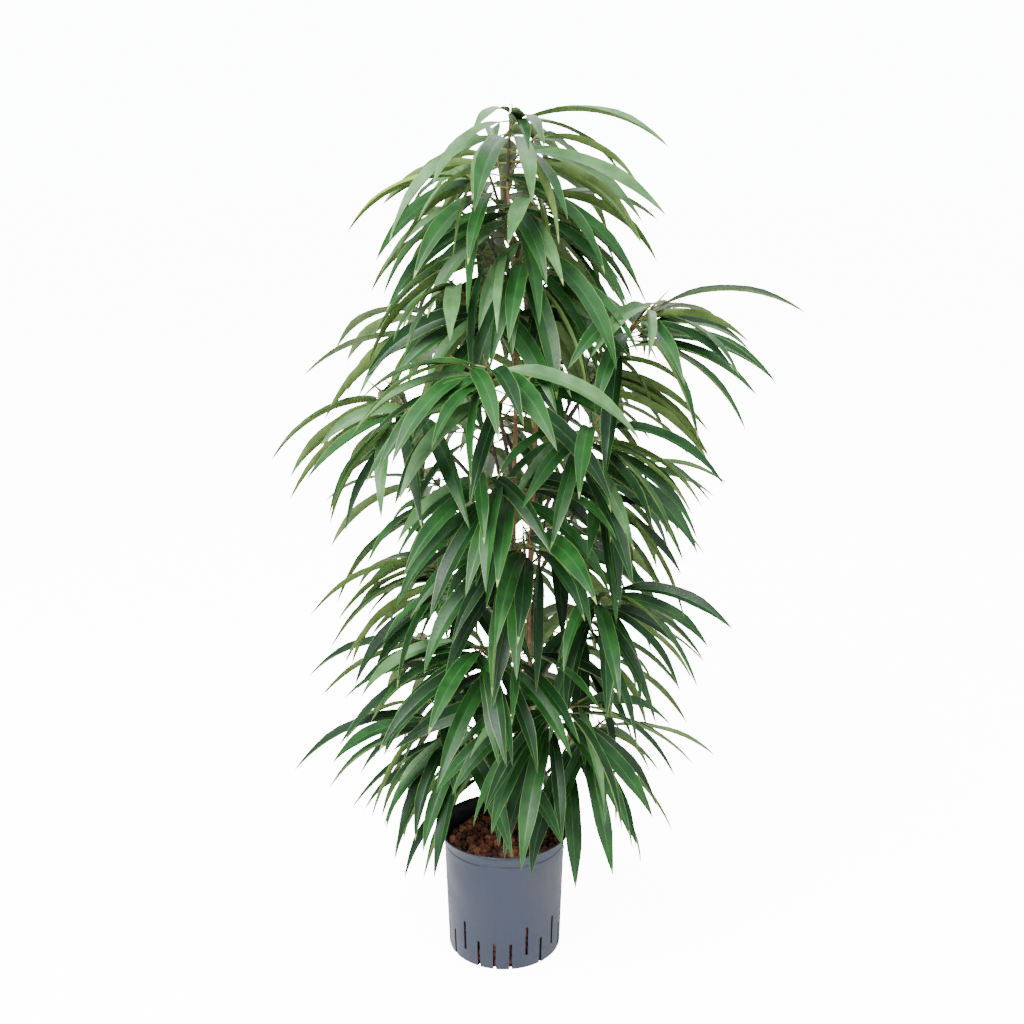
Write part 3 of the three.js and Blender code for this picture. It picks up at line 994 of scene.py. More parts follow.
class ShaderTree(NodeLayout):
    """Lays out the nodes of one material round its principled shader."""

    def __init__(self, name: str) -> None:
        """Start a material with only its output and its shader.

        Args:
            name: The material's name.
        """
        self.material = bpy.data.materials.new(name)
        self.material.use_nodes = True
        super().__init__(self.material.node_tree)
        self.shader = self.tree.nodes["Principled BSDF"]

    def dress(self, **values: object) -> None:
        """Set or link the shader's own sockets, named with underscores for spaces."""
        for key, value in values.items():
            self.feed(self.shader.inputs[key.replace("_", " ")], value)

    def place(self, scale: Sequence[float] = (1, 1, 1), use: str = "Object") -> Socket:
        """Return the piece's own coordinates, Object or UV, scaled along each axis."""
        own = self.node("ShaderNodeTexCoord").outputs[use]
        return self.node("ShaderNodeMapping", {"Vector": own, "Scale": scale}).outputs["Vector"]

    def noise(self, where: Socket, scale: float, detail: float = 3.0) -> Socket:
        """Return the factor of a noise pattern."""
        given = {"Vector": where, "Scale": scale, "Detail": detail}
        return self.node("ShaderNodeTexNoise", given).outputs["Fac"]

    def spots(self, where: Socket, scale: float) -> Socket:
        """Return the distance from the middle of each cell of a pattern."""
        return self.node("ShaderNodeTexVoronoi", {"Vector": where, "Scale": scale}).outputs["Distance"]

    def spread(self, factor: Socket, low: float, high: float, start: float = 0.0, end: float = 1.0) -> Socket:
        """Return a factor whose range from low to high is spread smoothly over start to end."""
        given = {"Value": factor, "From Min": low, "From Max": high, "To Min": start, "To Max": end}
        return self.node("ShaderNodeMapRange", given, interpolation_type="SMOOTHSTEP").outputs["Result"]

    def math(self, operation: str, *values: object) -> Socket:
        """Return the result of a sum of sockets and numbers."""
        return self.node("ShaderNodeMath", dict(enumerate(values)), operation=operation).outputs["Value"]

    def part(self, source: Socket, axis: str) -> Socket:
        """Return one axis of coordinates."""
        return self.node("ShaderNodeSeparateXYZ", {"Vector": source}).outputs[axis]

    def ramp(self, factor: Socket, places: Sequence[float], *colours: Colour) -> Socket:
        """Turn a factor into colours.

        Args:
            factor: The factor.
            places: The places of the colours, from 0 to 1.
            colours: The colours.

        Returns:
            The colour's socket.
        """
        made = self.node("ShaderNodeValToRGB", {"Fac": factor})
        elements = made.color_ramp.elements
        while len(elements) < len(places):
            elements.new(0.5)
        for element, place, colour in zip(elements, places, colours):
            element.position = place
            element.color = linear(colour)
        return made.outputs["Color"]

    def blend(self, factor: Socket, under: Socket, over: Colour) -> Socket:
        """Return a colour with another one laid over it by a factor."""
        given = {"Factor": factor, "A_Color": under, "B_Color": linear(over)}
        return socket_of(self.node("ShaderNodeMix", given, data_type="RGBA").outputs, "Result_Color")

    def bump(self, height: Socket, distance: float, strength: float) -> None:
        """Give the shader relief, of a depth in metres and shown at a strength."""
        given = {"Strength": strength, "Distance": distance, "Height": height}
        self.dress(Normal=self.node("ShaderNodeBump", given).outputs["Normal"])


@dataclass(frozen=True)
class BladeFinish:
    """A waxy leaf face with faint side veins and small changes of tint."""

    name: str
    dark: Colour
    light: Colour
    vein: Colour
    gloss: float = 0.46
    shine: float = 0.27
    gloss_sway: Pair = (-0.05, 0.08)
    patches: float = 38.0
    patch_range: Pair = (0.35, 0.68)
    mottle: float = 420.0
    mottle_rise: float = 0.15
    veins_along: float = 46.0
    veins_slant: float = 14.0
    vein_width: float = 0.14
    vein_tint: float = 0.12
    rib_width: float = 0.12
    rib_tint: float = 0.16
    relief: Pair = (0.0001, 0.35)

    def material(self) -> Material:
        """Make the finish a material.

        Returns:
            The material.
        """
        tree = ShaderTree(self.name)
        where = tree.place()
        tint = tree.ramp(tree.noise(where, self.patches), self.patch_range, self.dark, self.light)
        own = tree.place(use="UV")
        aside = tree.math("ABSOLUTE", tree.math("SUBTRACT", tree.part(own, "X"), 0.5))
        rows = tree.math("MULTIPLY", tree.part(own, "Y"), self.veins_along)
        slant = tree.math("MULTIPLY_ADD", aside, -self.veins_slant, rows)
        line = tree.spread(tree.math("PINGPONG", slant, 0.5), 0.0, self.vein_width, 1.0, 0.0)
        faint = tree.math("MULTIPLY", line, self.vein_tint)
        near_rib = tree.spread(aside, 0.0, self.rib_width, self.rib_tint, 0.0)
        tint = tree.blend(tree.math("MAXIMUM", faint, near_rib), tint, self.vein)
        mottle = tree.noise(where, self.mottle, detail=2.0)
        gloss = tree.spread(mottle, *NOISE_RANGE, *(self.gloss + sway for sway in self.gloss_sway))
        tree.dress(Base_Color=tint, Specular_IOR_Level=self.shine, Roughness=gloss)
        tree.bump(tree.math("MULTIPLY_ADD", mottle, self.mottle_rise, line), *self.relief)
        return tree.material


@dataclass(frozen=True)
class StripFinish:
    """A narrow leaf part, such as the midrib, the margin or the petiole, with small changes of tint."""

    name: str
    dark: Colour
    light: Colour
    gloss: float = 0.45
    patches: float = 60.0
    patch_range: Pair = (0.32, 0.7)
    grain: float = 900.0
    relief: Pair = (0.00005, 0.4)

    def material(self) -> Material:
        """Make the finish a material.

        Returns:
            The material.
        """
        tree = ShaderTree(self.name)
        where = tree.place()
        tint = tree.ramp(tree.noise(where, self.patches), self.patch_range, self.dark, self.light)
        tree.dress(Base_Color=tint, Roughness=self.gloss)
        tree.bump(tree.noise(where, self.grain, detail=2.0), *self.relief)
        return tree.material


@dataclass(frozen=True)
class BarkFinish:
    """Smooth young bark: long streaks and pale lenticels, greener with height."""

    name: str
    dark: Colour
    mid: Colour
    pale: Colour
    green: Colour
    green_from: float = 0.9
    green_to: float = 1.2
    gloss: float = 0.62
    streak: Triple = (1.0, 1.0, 0.16)
    streaks: float = 260.0
    streak_range: Triple = (0.3, 0.52, 0.78)
    lenticel: Triple = (1.0, 1.0, 0.7)
    lenticels: float = 170.0
    lenticel_edge: Pair = (0.08, 0.2)
    lenticel_tint: float = 0.6
    lenticel_rise: float = 0.5
    patches: float = 45.0
    patch_range: Pair = (0.35, 0.65)
    greenest: float = 0.8
    relief: Pair = (0.0004, 0.7)

    def material(self) -> Material:
        """Make the finish a material.

        Returns:
            The material.
        """
        tree = ShaderTree(self.name)
        where = tree.place()
        streaks = tree.noise(tree.place(self.streak), self.streaks, detail=5.0)
        tint = tree.ramp(streaks, self.streak_range, self.dark, self.mid, self.pale)
        spots = tree.spots(tree.place(self.lenticel), self.lenticels)
        lenticel = tree.spread(spots, *self.lenticel_edge, 1.0, 0.0)
        tint = tree.blend(tree.math("MULTIPLY", lenticel, self.lenticel_tint), tint, self.pale)
        greening = tree.spread(tree.part(where, "Z"), self.green_from, self.green_to, 0.0, self.greenest)
        patches = tree.spread(tree.noise(where, self.patches), *self.patch_range)
        tint = tree.blend(tree.math("MULTIPLY", greening, patches), tint, self.green)
        tree.dress(Base_Color=tint, Roughness=self.gloss)
        tree.bump(tree.math("MULTIPLY_ADD", lenticel, self.lenticel_rise, streaks), *self.relief)
        return tree.material


@dataclass(frozen=True)
class PlasticFinish:
    """Moulded plastic: a fine satin grain, soft clouding, faint draw lines and dust near the foot."""

    name: str
    body: Colour
    cloud: Colour
    dust: Colour
    gloss: float = 0.4
    gloss_sway: float = 0.14
    clouds: float = 14.0
    cloud_range: Pair = (0.35, 0.75)
    line: Triple = (1.0, 1.0, 0.04)
    lines: float = 320.0
    line_range: Pair = (0.52, 0.8)
    line_tint: float = 0.18
    line_rise: float = 0.3
    specks: float = 240.0
    speck_range: Pair = (0.55, 0.75)
    grain: float = 1500.0
    dust_top: float = 0.03
    dust_tint: float = 0.35
    relief: Pair = (0.00006, 0.5)

    def material(self) -> Material:
        """Make the finish a material.

        Returns:
            The material.
        """
        tree = ShaderTree(self.name)
        where = tree.place()
        clouds = tree.noise(where, self.clouds, detail=4.0)
        tint = tree.ramp(clouds, self.cloud_range, self.body, self.cloud)
        lines = tree.noise(tree.place(self.line), self.lines, detail=2.0)
        tint = tree.blend(tree.spread(lines, *self.line_range, 0.0, self.line_tint), tint, self.cloud)
        low = tree.spread(tree.part(where, "Z"), 0.0, self.dust_top, self.dust_tint, 0.0)
        specks = tree.spread(tree.noise(where, self.specks, detail=4.0), *self.speck_range)
        tint = tree.blend(tree.math("MULTIPLY", low, specks), tint, self.dust)
        grain = tree.noise(where, self.grain, detail=2.0)
        gloss = tree.spread(clouds, *NOISE_RANGE, self.gloss, self.gloss + self.gloss_sway)
        tree.dress(Base_Color=tint, Roughness=gloss)
        tree.bump(tree.math("MULTIPLY_ADD", lines, self.line_rise, grain), *self.relief)
        return tree.material


@dataclass(frozen=True)
class ClayFinish:
    """A baked clay granule: matt, pitted and dusty."""

    name: str
    dark: Colour
    body: Colour
    dust: Colour
    gloss: float = 0.95
    patches: float = 130.0
    patch_range: Pair = (0.3, 0.6)
    grain: float = 480.0
    dust_range: Pair = (0.56, 0.74)
    dust_tint: float = 0.7
    pits: float = 700.0
    pit_range: Pair = (0.1, 0.4)
    pit_rise: float = 0.6
    relief: Pair = (0.0007, 0.9)

    def material(self) -> Material:
        """Make the finish a material.

        Returns:
            The material.
        """
        tree = ShaderTree(self.name)
        where = tree.place()
        grain = tree.noise(where, self.grain, detail=5.0)
        tint = tree.ramp(tree.noise(where, self.patches), self.patch_range, self.dark, self.body)
        tint = tree.blend(tree.spread(grain, *self.dust_range, 0.0, self.dust_tint), tint, self.dust)
        tree.dress(Base_Color=tint, Roughness=self.gloss)
        pits = tree.spread(tree.spots(where, self.pits), *self.pit_range)
        tree.bump(tree.math("MULTIPLY_ADD", pits, self.pit_rise, grain), *self.relief)
        return tree.material


@dataclass(frozen=True)
class FloorFinish:
    """A plain pale studio floor, which the camera sees a little brighter than it lights the plant."""

    name: str
    pale: Colour
    paler: Colour
    gloss: float = 0.85
    clouds: float = 1.2
    glow: float = 12.0
    glow_tint: tuple[float, float, float, float] = (1.0, 1.0, 1.0, 1.0)

    def material(self) -> Material:
        """Make the finish a material.

        Returns:
            The material.
        """
        tree = ShaderTree(self.name)
        tint = tree.ramp(tree.noise(tree.place(), self.clouds), NOISE_RANGE, self.pale, self.paler)
        seen = tree.node("ShaderNodeLightPath").outputs["Is Camera Ray"]
        tree.dress(Base_Color=tint, Roughness=self.gloss, Emission_Color=self.glow_tint)
        tree.dress(Emission_Strength=tree.math("MULTIPLY", seen, self.glow))
        return tree.material


class LeafTone(Enum):
    """The tones of a leaf's top face, dealt out leaf by leaf, with lighter tones more often higher up as
    painted light from above.
    """

    DEEP = 0
    MID = 1
    LIGHT = 2
    NEW = 3


class LeafPart(Enum):
    """The leaf parts that all tones share, as material slots after the tones."""

    UNDERSIDE = 4
    MIDRIB = 5
    MARGIN = 6
    PETIOLE = 7
    TIP = 8


LEAF_FINISHES = (
    BladeFinish("leaf_deep", (2, 31, 6), (7, 44, 11), (28, 74, 28), 0.46, 0.22),
    BladeFinish("leaf_mid", (8, 48, 12), (24, 68, 22), (54, 102, 44), 0.46, 0.25),
    BladeFinish("leaf_light", (44, 82, 40), (74, 108, 66), (104, 138, 92)),
    BladeFinish("leaf_new", (82, 108, 18), (112, 132, 30), (138, 154, 60), 0.42),
    BladeFinish("leaf_underside", (70, 94, 44), (94, 118, 62), (122, 142, 86), 0.54, 0.2),
    StripFinish("leaf_midrib", (22, 64, 21), (46, 90, 37)),
    StripFinish("leaf_margin", (50, 88, 28), (88, 124, 50), 0.5),
    StripFinish("leaf_petiole", (92, 92, 34), (128, 120, 56), 0.5),
    StripFinish("leaf_tip", (92, 118, 50), (124, 138, 72), 0.55),
)

STEM_BARK = BarkFinish("stem_bark", (74, 46, 26), (118, 79, 46), (160, 120, 80), (100, 92, 48), 0.75, 1.1)
TWIG_BROWN = BarkFinish("twig_brown", (34, 24, 17), (56, 40, 27), (84, 66, 46), (58, 58, 30), 0.3, 1.3)
TWIG_GREEN = BarkFinish("twig_green", (50, 46, 24), (76, 68, 34), (104, 96, 52), (72, 80, 34), 0.1, 1.0)
DRY_WOOD = BarkFinish("dry_wood", (116, 80, 52), (150, 112, 76), (184, 150, 110), (150, 112, 76))
SPEAR = StripFinish("shoot_spear", (104, 96, 42), (144, 128, 66), 0.4)
POT_OUTSIDE = PlasticFinish("pot_outside", (10, 21, 42), (14, 27, 50), (68, 60, 52))
POT_INSIDE = PlasticFinish("pot_inside", (3, 5, 14), (7, 10, 22), (40, 30, 24), 0.5)
CLAYS = (
    ClayFinish("clay_dark", (32, 15, 10), (62, 30, 20), (94, 64, 48)),
    ClayFinish("clay_red", (62, 28, 18), (100, 51, 33), (126, 84, 62)),
    ClayFinish("clay_pale", (84, 46, 31), (122, 73, 50), (150, 110, 84)),
)
FLOOR = FloorFinish("studio_floor", (236, 236, 234), (240, 240, 239))


# Mesh making


def put(name: str, data: bpy.types.ID) -> Piece:
    """Add an object to the scene.

    Args:
        name: The object's name.
        data: Its mesh, light or camera.

    Returns:
        The object.
    """
    made = bpy.data.objects.new(name, data)
    bpy.context.collection.objects.link(made)
    return made


class PieceMesh:
    """Gathers closed tubes of rings into one joined piece."""

    def __init__(self) -> None:
        """Start with nothing."""
        self.points: list[np.ndarray] = []
        self.uvs: list[np.ndarray] = []
        self.faces: list[Face] = []
        self.slots: list[int] = []
        self.seams: list[np.ndarray] = []
        self.count = 0

    def add_tube(
        self,
        rings: np.ndarray,
        slots: np.ndarray,
        uvs: Optional[np.ndarray] = None,
        seams: Sequence[int] = (),
    ) -> None:
        """Add a closed tube: a row of rings with a cap at each end.

        Args:
            rings: The points, by row, by column and by axis, in millimetres.
            slots: The material slot of each face, by row and by column.
            uvs: The points' place on the piece's own pattern, by row and by column.
            seams: The columns along which the faces meet at a sharp edge.
        """
        rows, columns = rings.shape[:2]
        at = numbered(rows, columns, self.count)
        self.faces.extend(faces_between(rows, columns, self.count))
        self.faces.extend([tuple(reversed(at[0].tolist())), tuple(at[-1].tolist())])
        own_slots = np.broadcast_to(slots, (rows - 1, columns))
        self.slots.extend(own_slots.reshape(-1).tolist())
        self.slots.extend([int(own_slots[0, 0]), int(own_slots[-1, 0])])
        self.points.append(rings.reshape(-1, 3) * MM)
        own = uvs if uvs is not None else np.zeros((rows, columns, 2))
        self.uvs.append(own.reshape(-1, 2))
        marks = np.zeros((rows, columns), int)
        for number, column in enumerate(seams):
            marks[:, column] = number + 1
        self.seams.append(marks.reshape(-1))
        self.count += rows * columns

    def piece(self, name: str, finishes: Sequence[Material]) -> Piece:
        """Make the gathered tubes one object.

        Args:
            name: The piece's name.
            finishes: The materials, in the order of the slots.

        Returns:
            The object, with its place in its mesh.
        """
        points = np.concatenate(self.points)
        mesh = bpy.data.meshes.new(name)
        mesh.from_pydata(points, [], self.faces)
        mesh.polygons.foreach_set("material_index", self.slots)
        mesh.polygons.foreach_set("use_smooth", [len(face) == QUAD for face in self.faces])
        corners = np.zeros(len(mesh.loops), int)
        mesh.loops.foreach_get("vertex_index", corners)
        layer = mesh.uv_layers.new(name="own")
        layer.data.foreach_set("uv", np.concatenate(self.uvs)[corners].reshape(-1))
        marks = np.concatenate(self.seams)
        ends = np.zeros(len(mesh.edges) * 2, int)
        mesh.edges.foreach_get("vertices", ends)
        first, second = marks[ends[0::2]], marks[ends[1::2]]
        sharp = mesh.attributes.new("sharp_edge", "BOOLEAN", "EDGE")
        sharp.data.foreach_set("value", (first > 0) & (first == second))
        for finish in finishes:
            mesh.materials.append(finish)
        return put(name, mesh)


def fit(piece: Piece, replaced: Sequence[str] = ()) -> None:
    """Seat a finished piece on the body and the solids that it stands for.

    Args:
        piece: The piece.
        replaced: The names of the solids that it replaces.
    """
    if replaced:
        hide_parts(*replaced)
    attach(piece, BODY)
    LOG.info("%s: %d faces", piece.name, len(piece.data.polygons))


# Leaves


@dataclass
class LeafMaker:
    """Makes each leaf a thin folded blade with a midrib and paler margins, on a petiole.

    Sizes are in millimetres, and places along the leaf shares of its length. The widest rib and the
    narrowest face are shares of half the blade's width.
    """

    rule: LeafRule
    rows: tuple[float, ...] = (
        0.085, 0.12, 0.16, 0.21, 0.28, 0.36, 0.45, 0.54, 0.63, 0.72, 0.8, 0.88, 0.95, 1.0,
    )
    slimness: float = 0.83
    opening: Pair = (2.4, 0.6)
    closing: Pair = (2.3, 0.8)
    stalk_rows: tuple[float, ...] = (0.0, 0.04, 0.08, 0.13)
    stalk_sides: int = 4
    stalk_radius: float = 1.05
    stalk_tip_radius: float = 0.45
    margin: float = 0.5
    narrowest_face: float = 0.7
    rib: float = 0.5
    rib_tip: float = 0.2
    rib_depth: float = 0.9
    widest_rib: float = 0.4
    thickness: float = 0.4
    base_half: float = 0.9
    tip_half: float = 0.12
    drip_from: float = 0.7
    drip: float = 0.2
    fold: float = 0.44
    fold_sway: float = 0.4
    ripple: float = 0.8
    ripple_waves: float = 2.6
    twist: float = 0.9
    dry_tips: float = 0.32
    # Painted light: how much a leaf's height makes a lighter tone likelier, as if lit from above.
    painted_light_by_height: float = 0.45
    top: float = 1100.0
    youth: float = 0.3

    SEAMS = (0, 5)
    TONES = ((LeafTone.NEW, 1.2), (LeafTone.LIGHT, 0.78), (LeafTone.MID, 0.42))

    def half_at(self, leaf: Leaf, along: float) -> float:
        """Measure the blade, whose sides run side by side and then close in to a long point.

        Args:
            leaf: The leaf.
            along: The share of its length.

        Returns:
            Half the blade's width there.
        """
        least = lerp(self.base_half, self.tip_half, along)
        blade = clamp((along - self.rule.petiole) / (1 - self.rule.petiole))
        opened = min(1.0, self.opening[0] * blade ** self.opening[1])
        closed = min(1.0, self.closing[0] * (1 - blade) ** self.closing[1])
        drawn = 1 - self.drip * clamp((along - self.drip_from) / (1 - self.drip_from))
        widest = leaf.length * self.rule.half_width * self.slimness
        return max(widest * opened * closed * drawn, least)

    def section(self, half: float, along: float, fold: float) -> list[Pair]:
        """Lay out the blade's section, first over the top and then back underneath.

        Args:
            half: Half the blade's width.
            along: The share of the leaf's length.
            fold: How far each half is folded up.

        Returns:
            How far each point stands across and up, each as a length.
        """
        rib = min(lerp(self.rib, self.rib_tip, along) / half, self.widest_rib)
        margin = max(1 - self.margin / half, self.narrowest_face)
        shares = (1.0, margin, rib, -rib, -margin, -1.0)
        top = [(share * half * math.cos(fold), abs(share) * half * math.sin(fold)) for share in shares]
        depth = min(self.rib_depth, half)
        edge = [(side, up - self.thickness) for side, up in (top[-2], top[1])]
        return [*top, edge[0], (-rib * half, -depth), (rib * half, -depth), edge[1]]

    def add_blade(self, mesh: PieceMesh, leaf: Leaf, tone: LeafTone, draw: Draw) -> None:
        """Add a leaf's blade.

        Args:
            mesh: The piece that gathers the leaves.
            leaf: The leaf.
            tone: The tone of its upper face.
            draw: The draws that vary it.
        """
        fold = self.fold + draw.swayed(self.fold_sway)
        twist = draw.swayed(self.twist)
        phase = draw()
        rings, uvs = [], []
        for along in self.rows:
            half = self.half_at(leaf, along)
            _, across, under = leaf.axes(along, twist * (along - self.rule.petiole))
            centre = leaf.centre(along)
            wave = self.ripple * math.sin(2 * math.pi * (self.ripple_waves * along + phase)) * (1 - along)
            section = self.section(half, along, fold)
            rings.append([centre + across * side - under * (up + wave * side / half) for side, up in section])
            uvs.append([(side / half / 2 + 0.5, along) for side, _ in section])
        margin, face, rib = LeafPart.MARGIN.value, tone.value, LeafPart.MIDRIB.value
        under_face = LeafPart.UNDERSIDE.value
        section_slots = [margin, face, rib, face, margin, under_face, under_face, rib, under_face, under_face]
        slots = np.tile(section_slots, (len(self.rows) - 1, 1))
        if draw() < self.dry_tips:
            slots[-1:] = LeafPart.TIP.value
        mesh.add_tube(np.array(rings), slots, np.array(uvs), self.SEAMS)

    def add_stalk(self, mesh: PieceMesh, leaf: Leaf) -> None:
        """Add a leaf's petiole, from inside the twig to under the blade.

        Args:
            mesh: The piece that gathers the leaves.
            leaf: The leaf.
        """
        rings = []
        for along in self.stalk_rows:
            _, across, under = leaf.axes(along)
            share = along / self.stalk_rows[-1]
            radius = lerp(self.stalk_radius, self.stalk_tip_radius, share**2)
            centre = leaf.centre(along) + under * (self.stalk_tip_radius * share)
            turns = turns_round(self.stalk_sides)
            ways = [across * math.sin(turn) + under * math.cos(turn) for turn in turns]
            rings.append([centre + way * radius for way in ways])
        mesh.add_tube(np.array(rings), np.array([[LeafPart.PETIOLE.value]]))

    def tone_of(self, leaf: Leaf, draw: Draw) -> LeafTone:
        """Deal a leaf its tone: higher leaves get lighter tones more often, as painted light from above; the
        youngest ones are lighter, and a few are new.

        Args:
            leaf: The leaf.
            draw: The draws that vary it.

        Returns:
            The tone.
        """
        # Painted light from above: the higher the leaf's root, the likelier a lighter tone.
        pick = draw() * (1 - self.painted_light_by_height) + self.painted_light_by_height * leaf.root.z / self.top
        pick += self.youth if leaf.is_tip else 0.0
        return next((tone for tone, least in self.TONES if pick > least), LeafTone.DEEP)

    def add(self, mesh: PieceMesh, leaf: Leaf, draw: Draw) -> None:
        """Add one leaf to a piece, varied by draws."""
        self.add_blade(mesh, leaf, self.tone_of(leaf, draw), draw)
        self.add_stalk(mesh, leaf)


# Bark


@dataclass(frozen=True)
class BarkMaker:
    """Makes a limb's tube with relief: soft lumps, fine grain and ring scars, in millimetres."""

    sides: int = 14
    step: float = 2.6
    lump: float = 0.08
    lump_size: float = 11.0
    grain: float = 0.05
    grain_size: float = 2.4
    ring_gap: float = 24.0
    ring_sway: float = 0.7
    ring_rise: float = 0.1
    ring_width: float = 1.5
    ring_fade: float = 3.0
    stretch: float = 2.0

    ROUND_TIP = ((0.35, 0.72), (0.55, 0.3))
    FEWEST_STEPS = 3
    CHORDS = 60

    def scars(self, length: float, draw: Draw) -> list[float]:
        """Deal out the ring scars along a limb.

        Args:
            length: The limb's length.
            draw: The draws that space them.

        Returns:
            Their distances along the limb.
        """
        found = []
        place = self.ring_gap * draw()
        while place < length:
            found.append(place)
            place += self.ring_gap * (1 + draw.swayed(self.ring_sway))
        return found

    def relief(self, point: Vector, distance: float, scars: Sequence[float]) -> float:
        """Return how far the bark stands out at a point, as a share of the limb's radius.

        Args:
            point: The point on the plain limb.
            distance: Its distance along the limb.
            scars: The distances of the ring scars.

        Returns:
            The share, about 0.
        """
        stretched = Vector((point.x, point.y, point.z / self.stretch))
        rise = self.lump * noise.noise(stretched / self.lump_size)
        rise += self.grain * noise.noise(stretched / self.grain_size)
        for scar in scars:
            off = (distance - scar) / self.ring_width
            if abs(off) < self.ring_fade:
                rise += self.ring_rise * math.exp(-off * off)
        return rise

    def add(self, mesh: PieceMesh, curve: Curve, radius_at: Shape, seed: int, change: float = 1.0) -> None:
        """Add a limb to a piece.

        Args:
            mesh: The piece that gathers the limbs.
            curve: The limb's curve.
            radius_at: The limb's radius at a share of its way.
            seed: The number that its draws start from.
            change: The share of its way past which it has the second finish.
        """
        length = curve.length(self.CHORDS)
        steps = max(int(length / self.step), self.FEWEST_STEPS)
        scars = self.scars(length, Draw(seed))
        rings = []
        for row in range(steps + 1):
            share = row / steps
            centre = curve.point(share)
            plain = ring_at(curve, share, radius_at(share), self.sides)
            out = [1 + self.relief(point, share * length, scars) for point in plain]
            rings.append([centre + (point - centre) * rise for point, rise in zip(plain, out)])
        end, tangent = curve.point(1), curve.tangent(1)
        for forward, size in self.ROUND_TIP:
            centre = end + tangent * (forward * radius_at(1))
            rings.append([centre + (point - end) * size for point in rings[steps]])
        slots = np.array([[int(min(row / steps, 1.0) > change)] for row in range(len(rings) - 1)])
        mesh.add_tube(np.array(rings), slots)


@dataclass
class Crown:
    """Makes the grown crown's meshes: bark, twigs, spears and leaves.

    Radii are in millimetres, at the foot and at the tip. A twig's third number is where it turns green.
    """

    growth: Growth
    leaf_maker: LeafMaker
    stem_bark: BarkMaker = BarkMaker()
    bough_bark: BarkMaker = BarkMaker(sides=10, step=3.0, ring_gap=15.0)
    twig_bark: BarkMaker = BarkMaker(sides=7, step=3.4, ring_gap=9.0, ring_width=1.1, ring_rise=0.16)
    spear_skin: BarkMaker = BarkMaker(sides=6, step=4.0, ring_rise=0.0, lump=0.02, grain=0.0)
    bough_radii: Pair = (3.0, 2.4)
    first_twig: Triple = (2.4, 1.5, 0.5)
    side_twig: Triple = (1.7, 1.3, 0.25)
    twig_sunk: float = -0.03
    spear_radii: Pair = (1.35, 0.12)
    spear_taper: float = 1.3
    spear_length: float = 22.0
    spear_sway: float = 0.6
    spear_lean: float = 0.08
    side_spear: float = 0.7

    TIERS = ((0, 7), (8, 15), (16, 23), (24, 30))
    TWIG_SEEDS = (10, 1)
    LEAF_SEEDS = (1000, 1)

    def build_stem(self, stem: StemRule, foot: float, finish: Material) -> None:
        """Make a stem's bark, from its flat foot up.

        Args:
            stem: The stem.
            foot: The height of its flat cut.
            finish: The bark's material.
        """
        mesh = PieceMesh()
        curve = Stretch(stem.curve, stem.share_at(foot), 1)
        self.stem_bark.add(mesh, curve, partial(stem.radius_along, curve), len(stem.rows))
        fit(mesh.piece(f"{stem.name}_bark", [finish]), [stem.name])

    def build_boughs(self, finish: Material) -> None:
        """Make the bark of all boughs one piece.

        Args:
            finish: The bark's material.
        """
        mesh = PieceMesh()
        grown = [shoot for shoot in self.growth.crown if shoot.bough]
        for shoot in grown:
            self.bough_bark.add(mesh, shoot.bough, partial(lerp, *self.bough_radii), shoot.index)
        names = [f"bough_{shoot.index + 1:02d}" for shoot in grown]
        fit(mesh.piece("bough_bark", [finish]), names)

    def build_twigs(self, finishes: Sequence[Material]) -> None:
        """Make all twigs one piece, brown at the foot and green further on.

        Args:
            finishes: The materials of the brown bark and the green one.
        """
        mesh = PieceMesh()
        for shoot in self.growth.crown:
            for twig in shoot.twigs:
                is_first = twig.number == 0
                foot, tip, change = self.first_twig if is_first else self.side_twig
                curve = Stretch(twig.curve, self.twig_sunk if is_first and shoot.bough else 0, 1)
                seed = seed_of(self.TWIG_SEEDS, shoot.index, twig.number)
                self.twig_bark.add(mesh, curve, partial(lerp, foot, tip), seed, change)
        fit(mesh.piece("twig_bark", finishes))

    def spear_radius(self, share: float) -> float:
        """Return a spear's radius at a share of its length."""
        return lerp(*self.spear_radii, share**self.spear_taper)

    def build_spears(self, finish: Material) -> None:
        """Make the pointed sheath at the end of each twig, all in one piece.

        Args:
            finish: The sheaths' material.
        """
        mesh = PieceMesh()
        for shoot in self.growth.crown:
            for twig in shoot.twigs:
                draw = Draw(seed_of(self.TWIG_SEEDS, shoot.index, twig.number))
                size = 1.0 if twig.number == 0 else self.side_spear
                length = self.spear_length * (1 + draw.swayed(self.spear_sway)) * size
                tip, tangent = twig.curve.point(1), twig.curve.tangent(1)
                side = unit_at(draw() * 2 * math.pi) * (length * self.spear_lean)
                curve = Arc(tip - tangent, tip + tangent * (length / 2) + side, tip + tangent * length)
                self.spear_skin.add(mesh, curve, self.spear_radius, shoot.index)
        fit(mesh.piece("shoot_spears", [finish]))

    def build_leaves(self, finishes: Sequence[Material]) -> None:
        """Make the leaves of each tier of shoots one piece, from the top tier down.

        Args:
            finishes: The materials of the leaf tones and then of the other leaf parts.
        """
        for number, (first, last) in enumerate(self.TIERS, 1):
            mesh = PieceMesh()
            shoots = [shoot for shoot in self.growth.crown if first <= shoot.index <= last]
            for shoot in shoots:
                for place, leaf in enumerate(shoot.leaves):
                    self.leaf_maker.add(mesh, leaf, Draw(seed_of(self.LEAF_SEEDS, shoot.index, place)))
            names = [f"foliage_{shoot.index + 1:02d}" for shoot in shoots]
            fit(mesh.piece(f"leaves_tier_{number}", finishes), names)


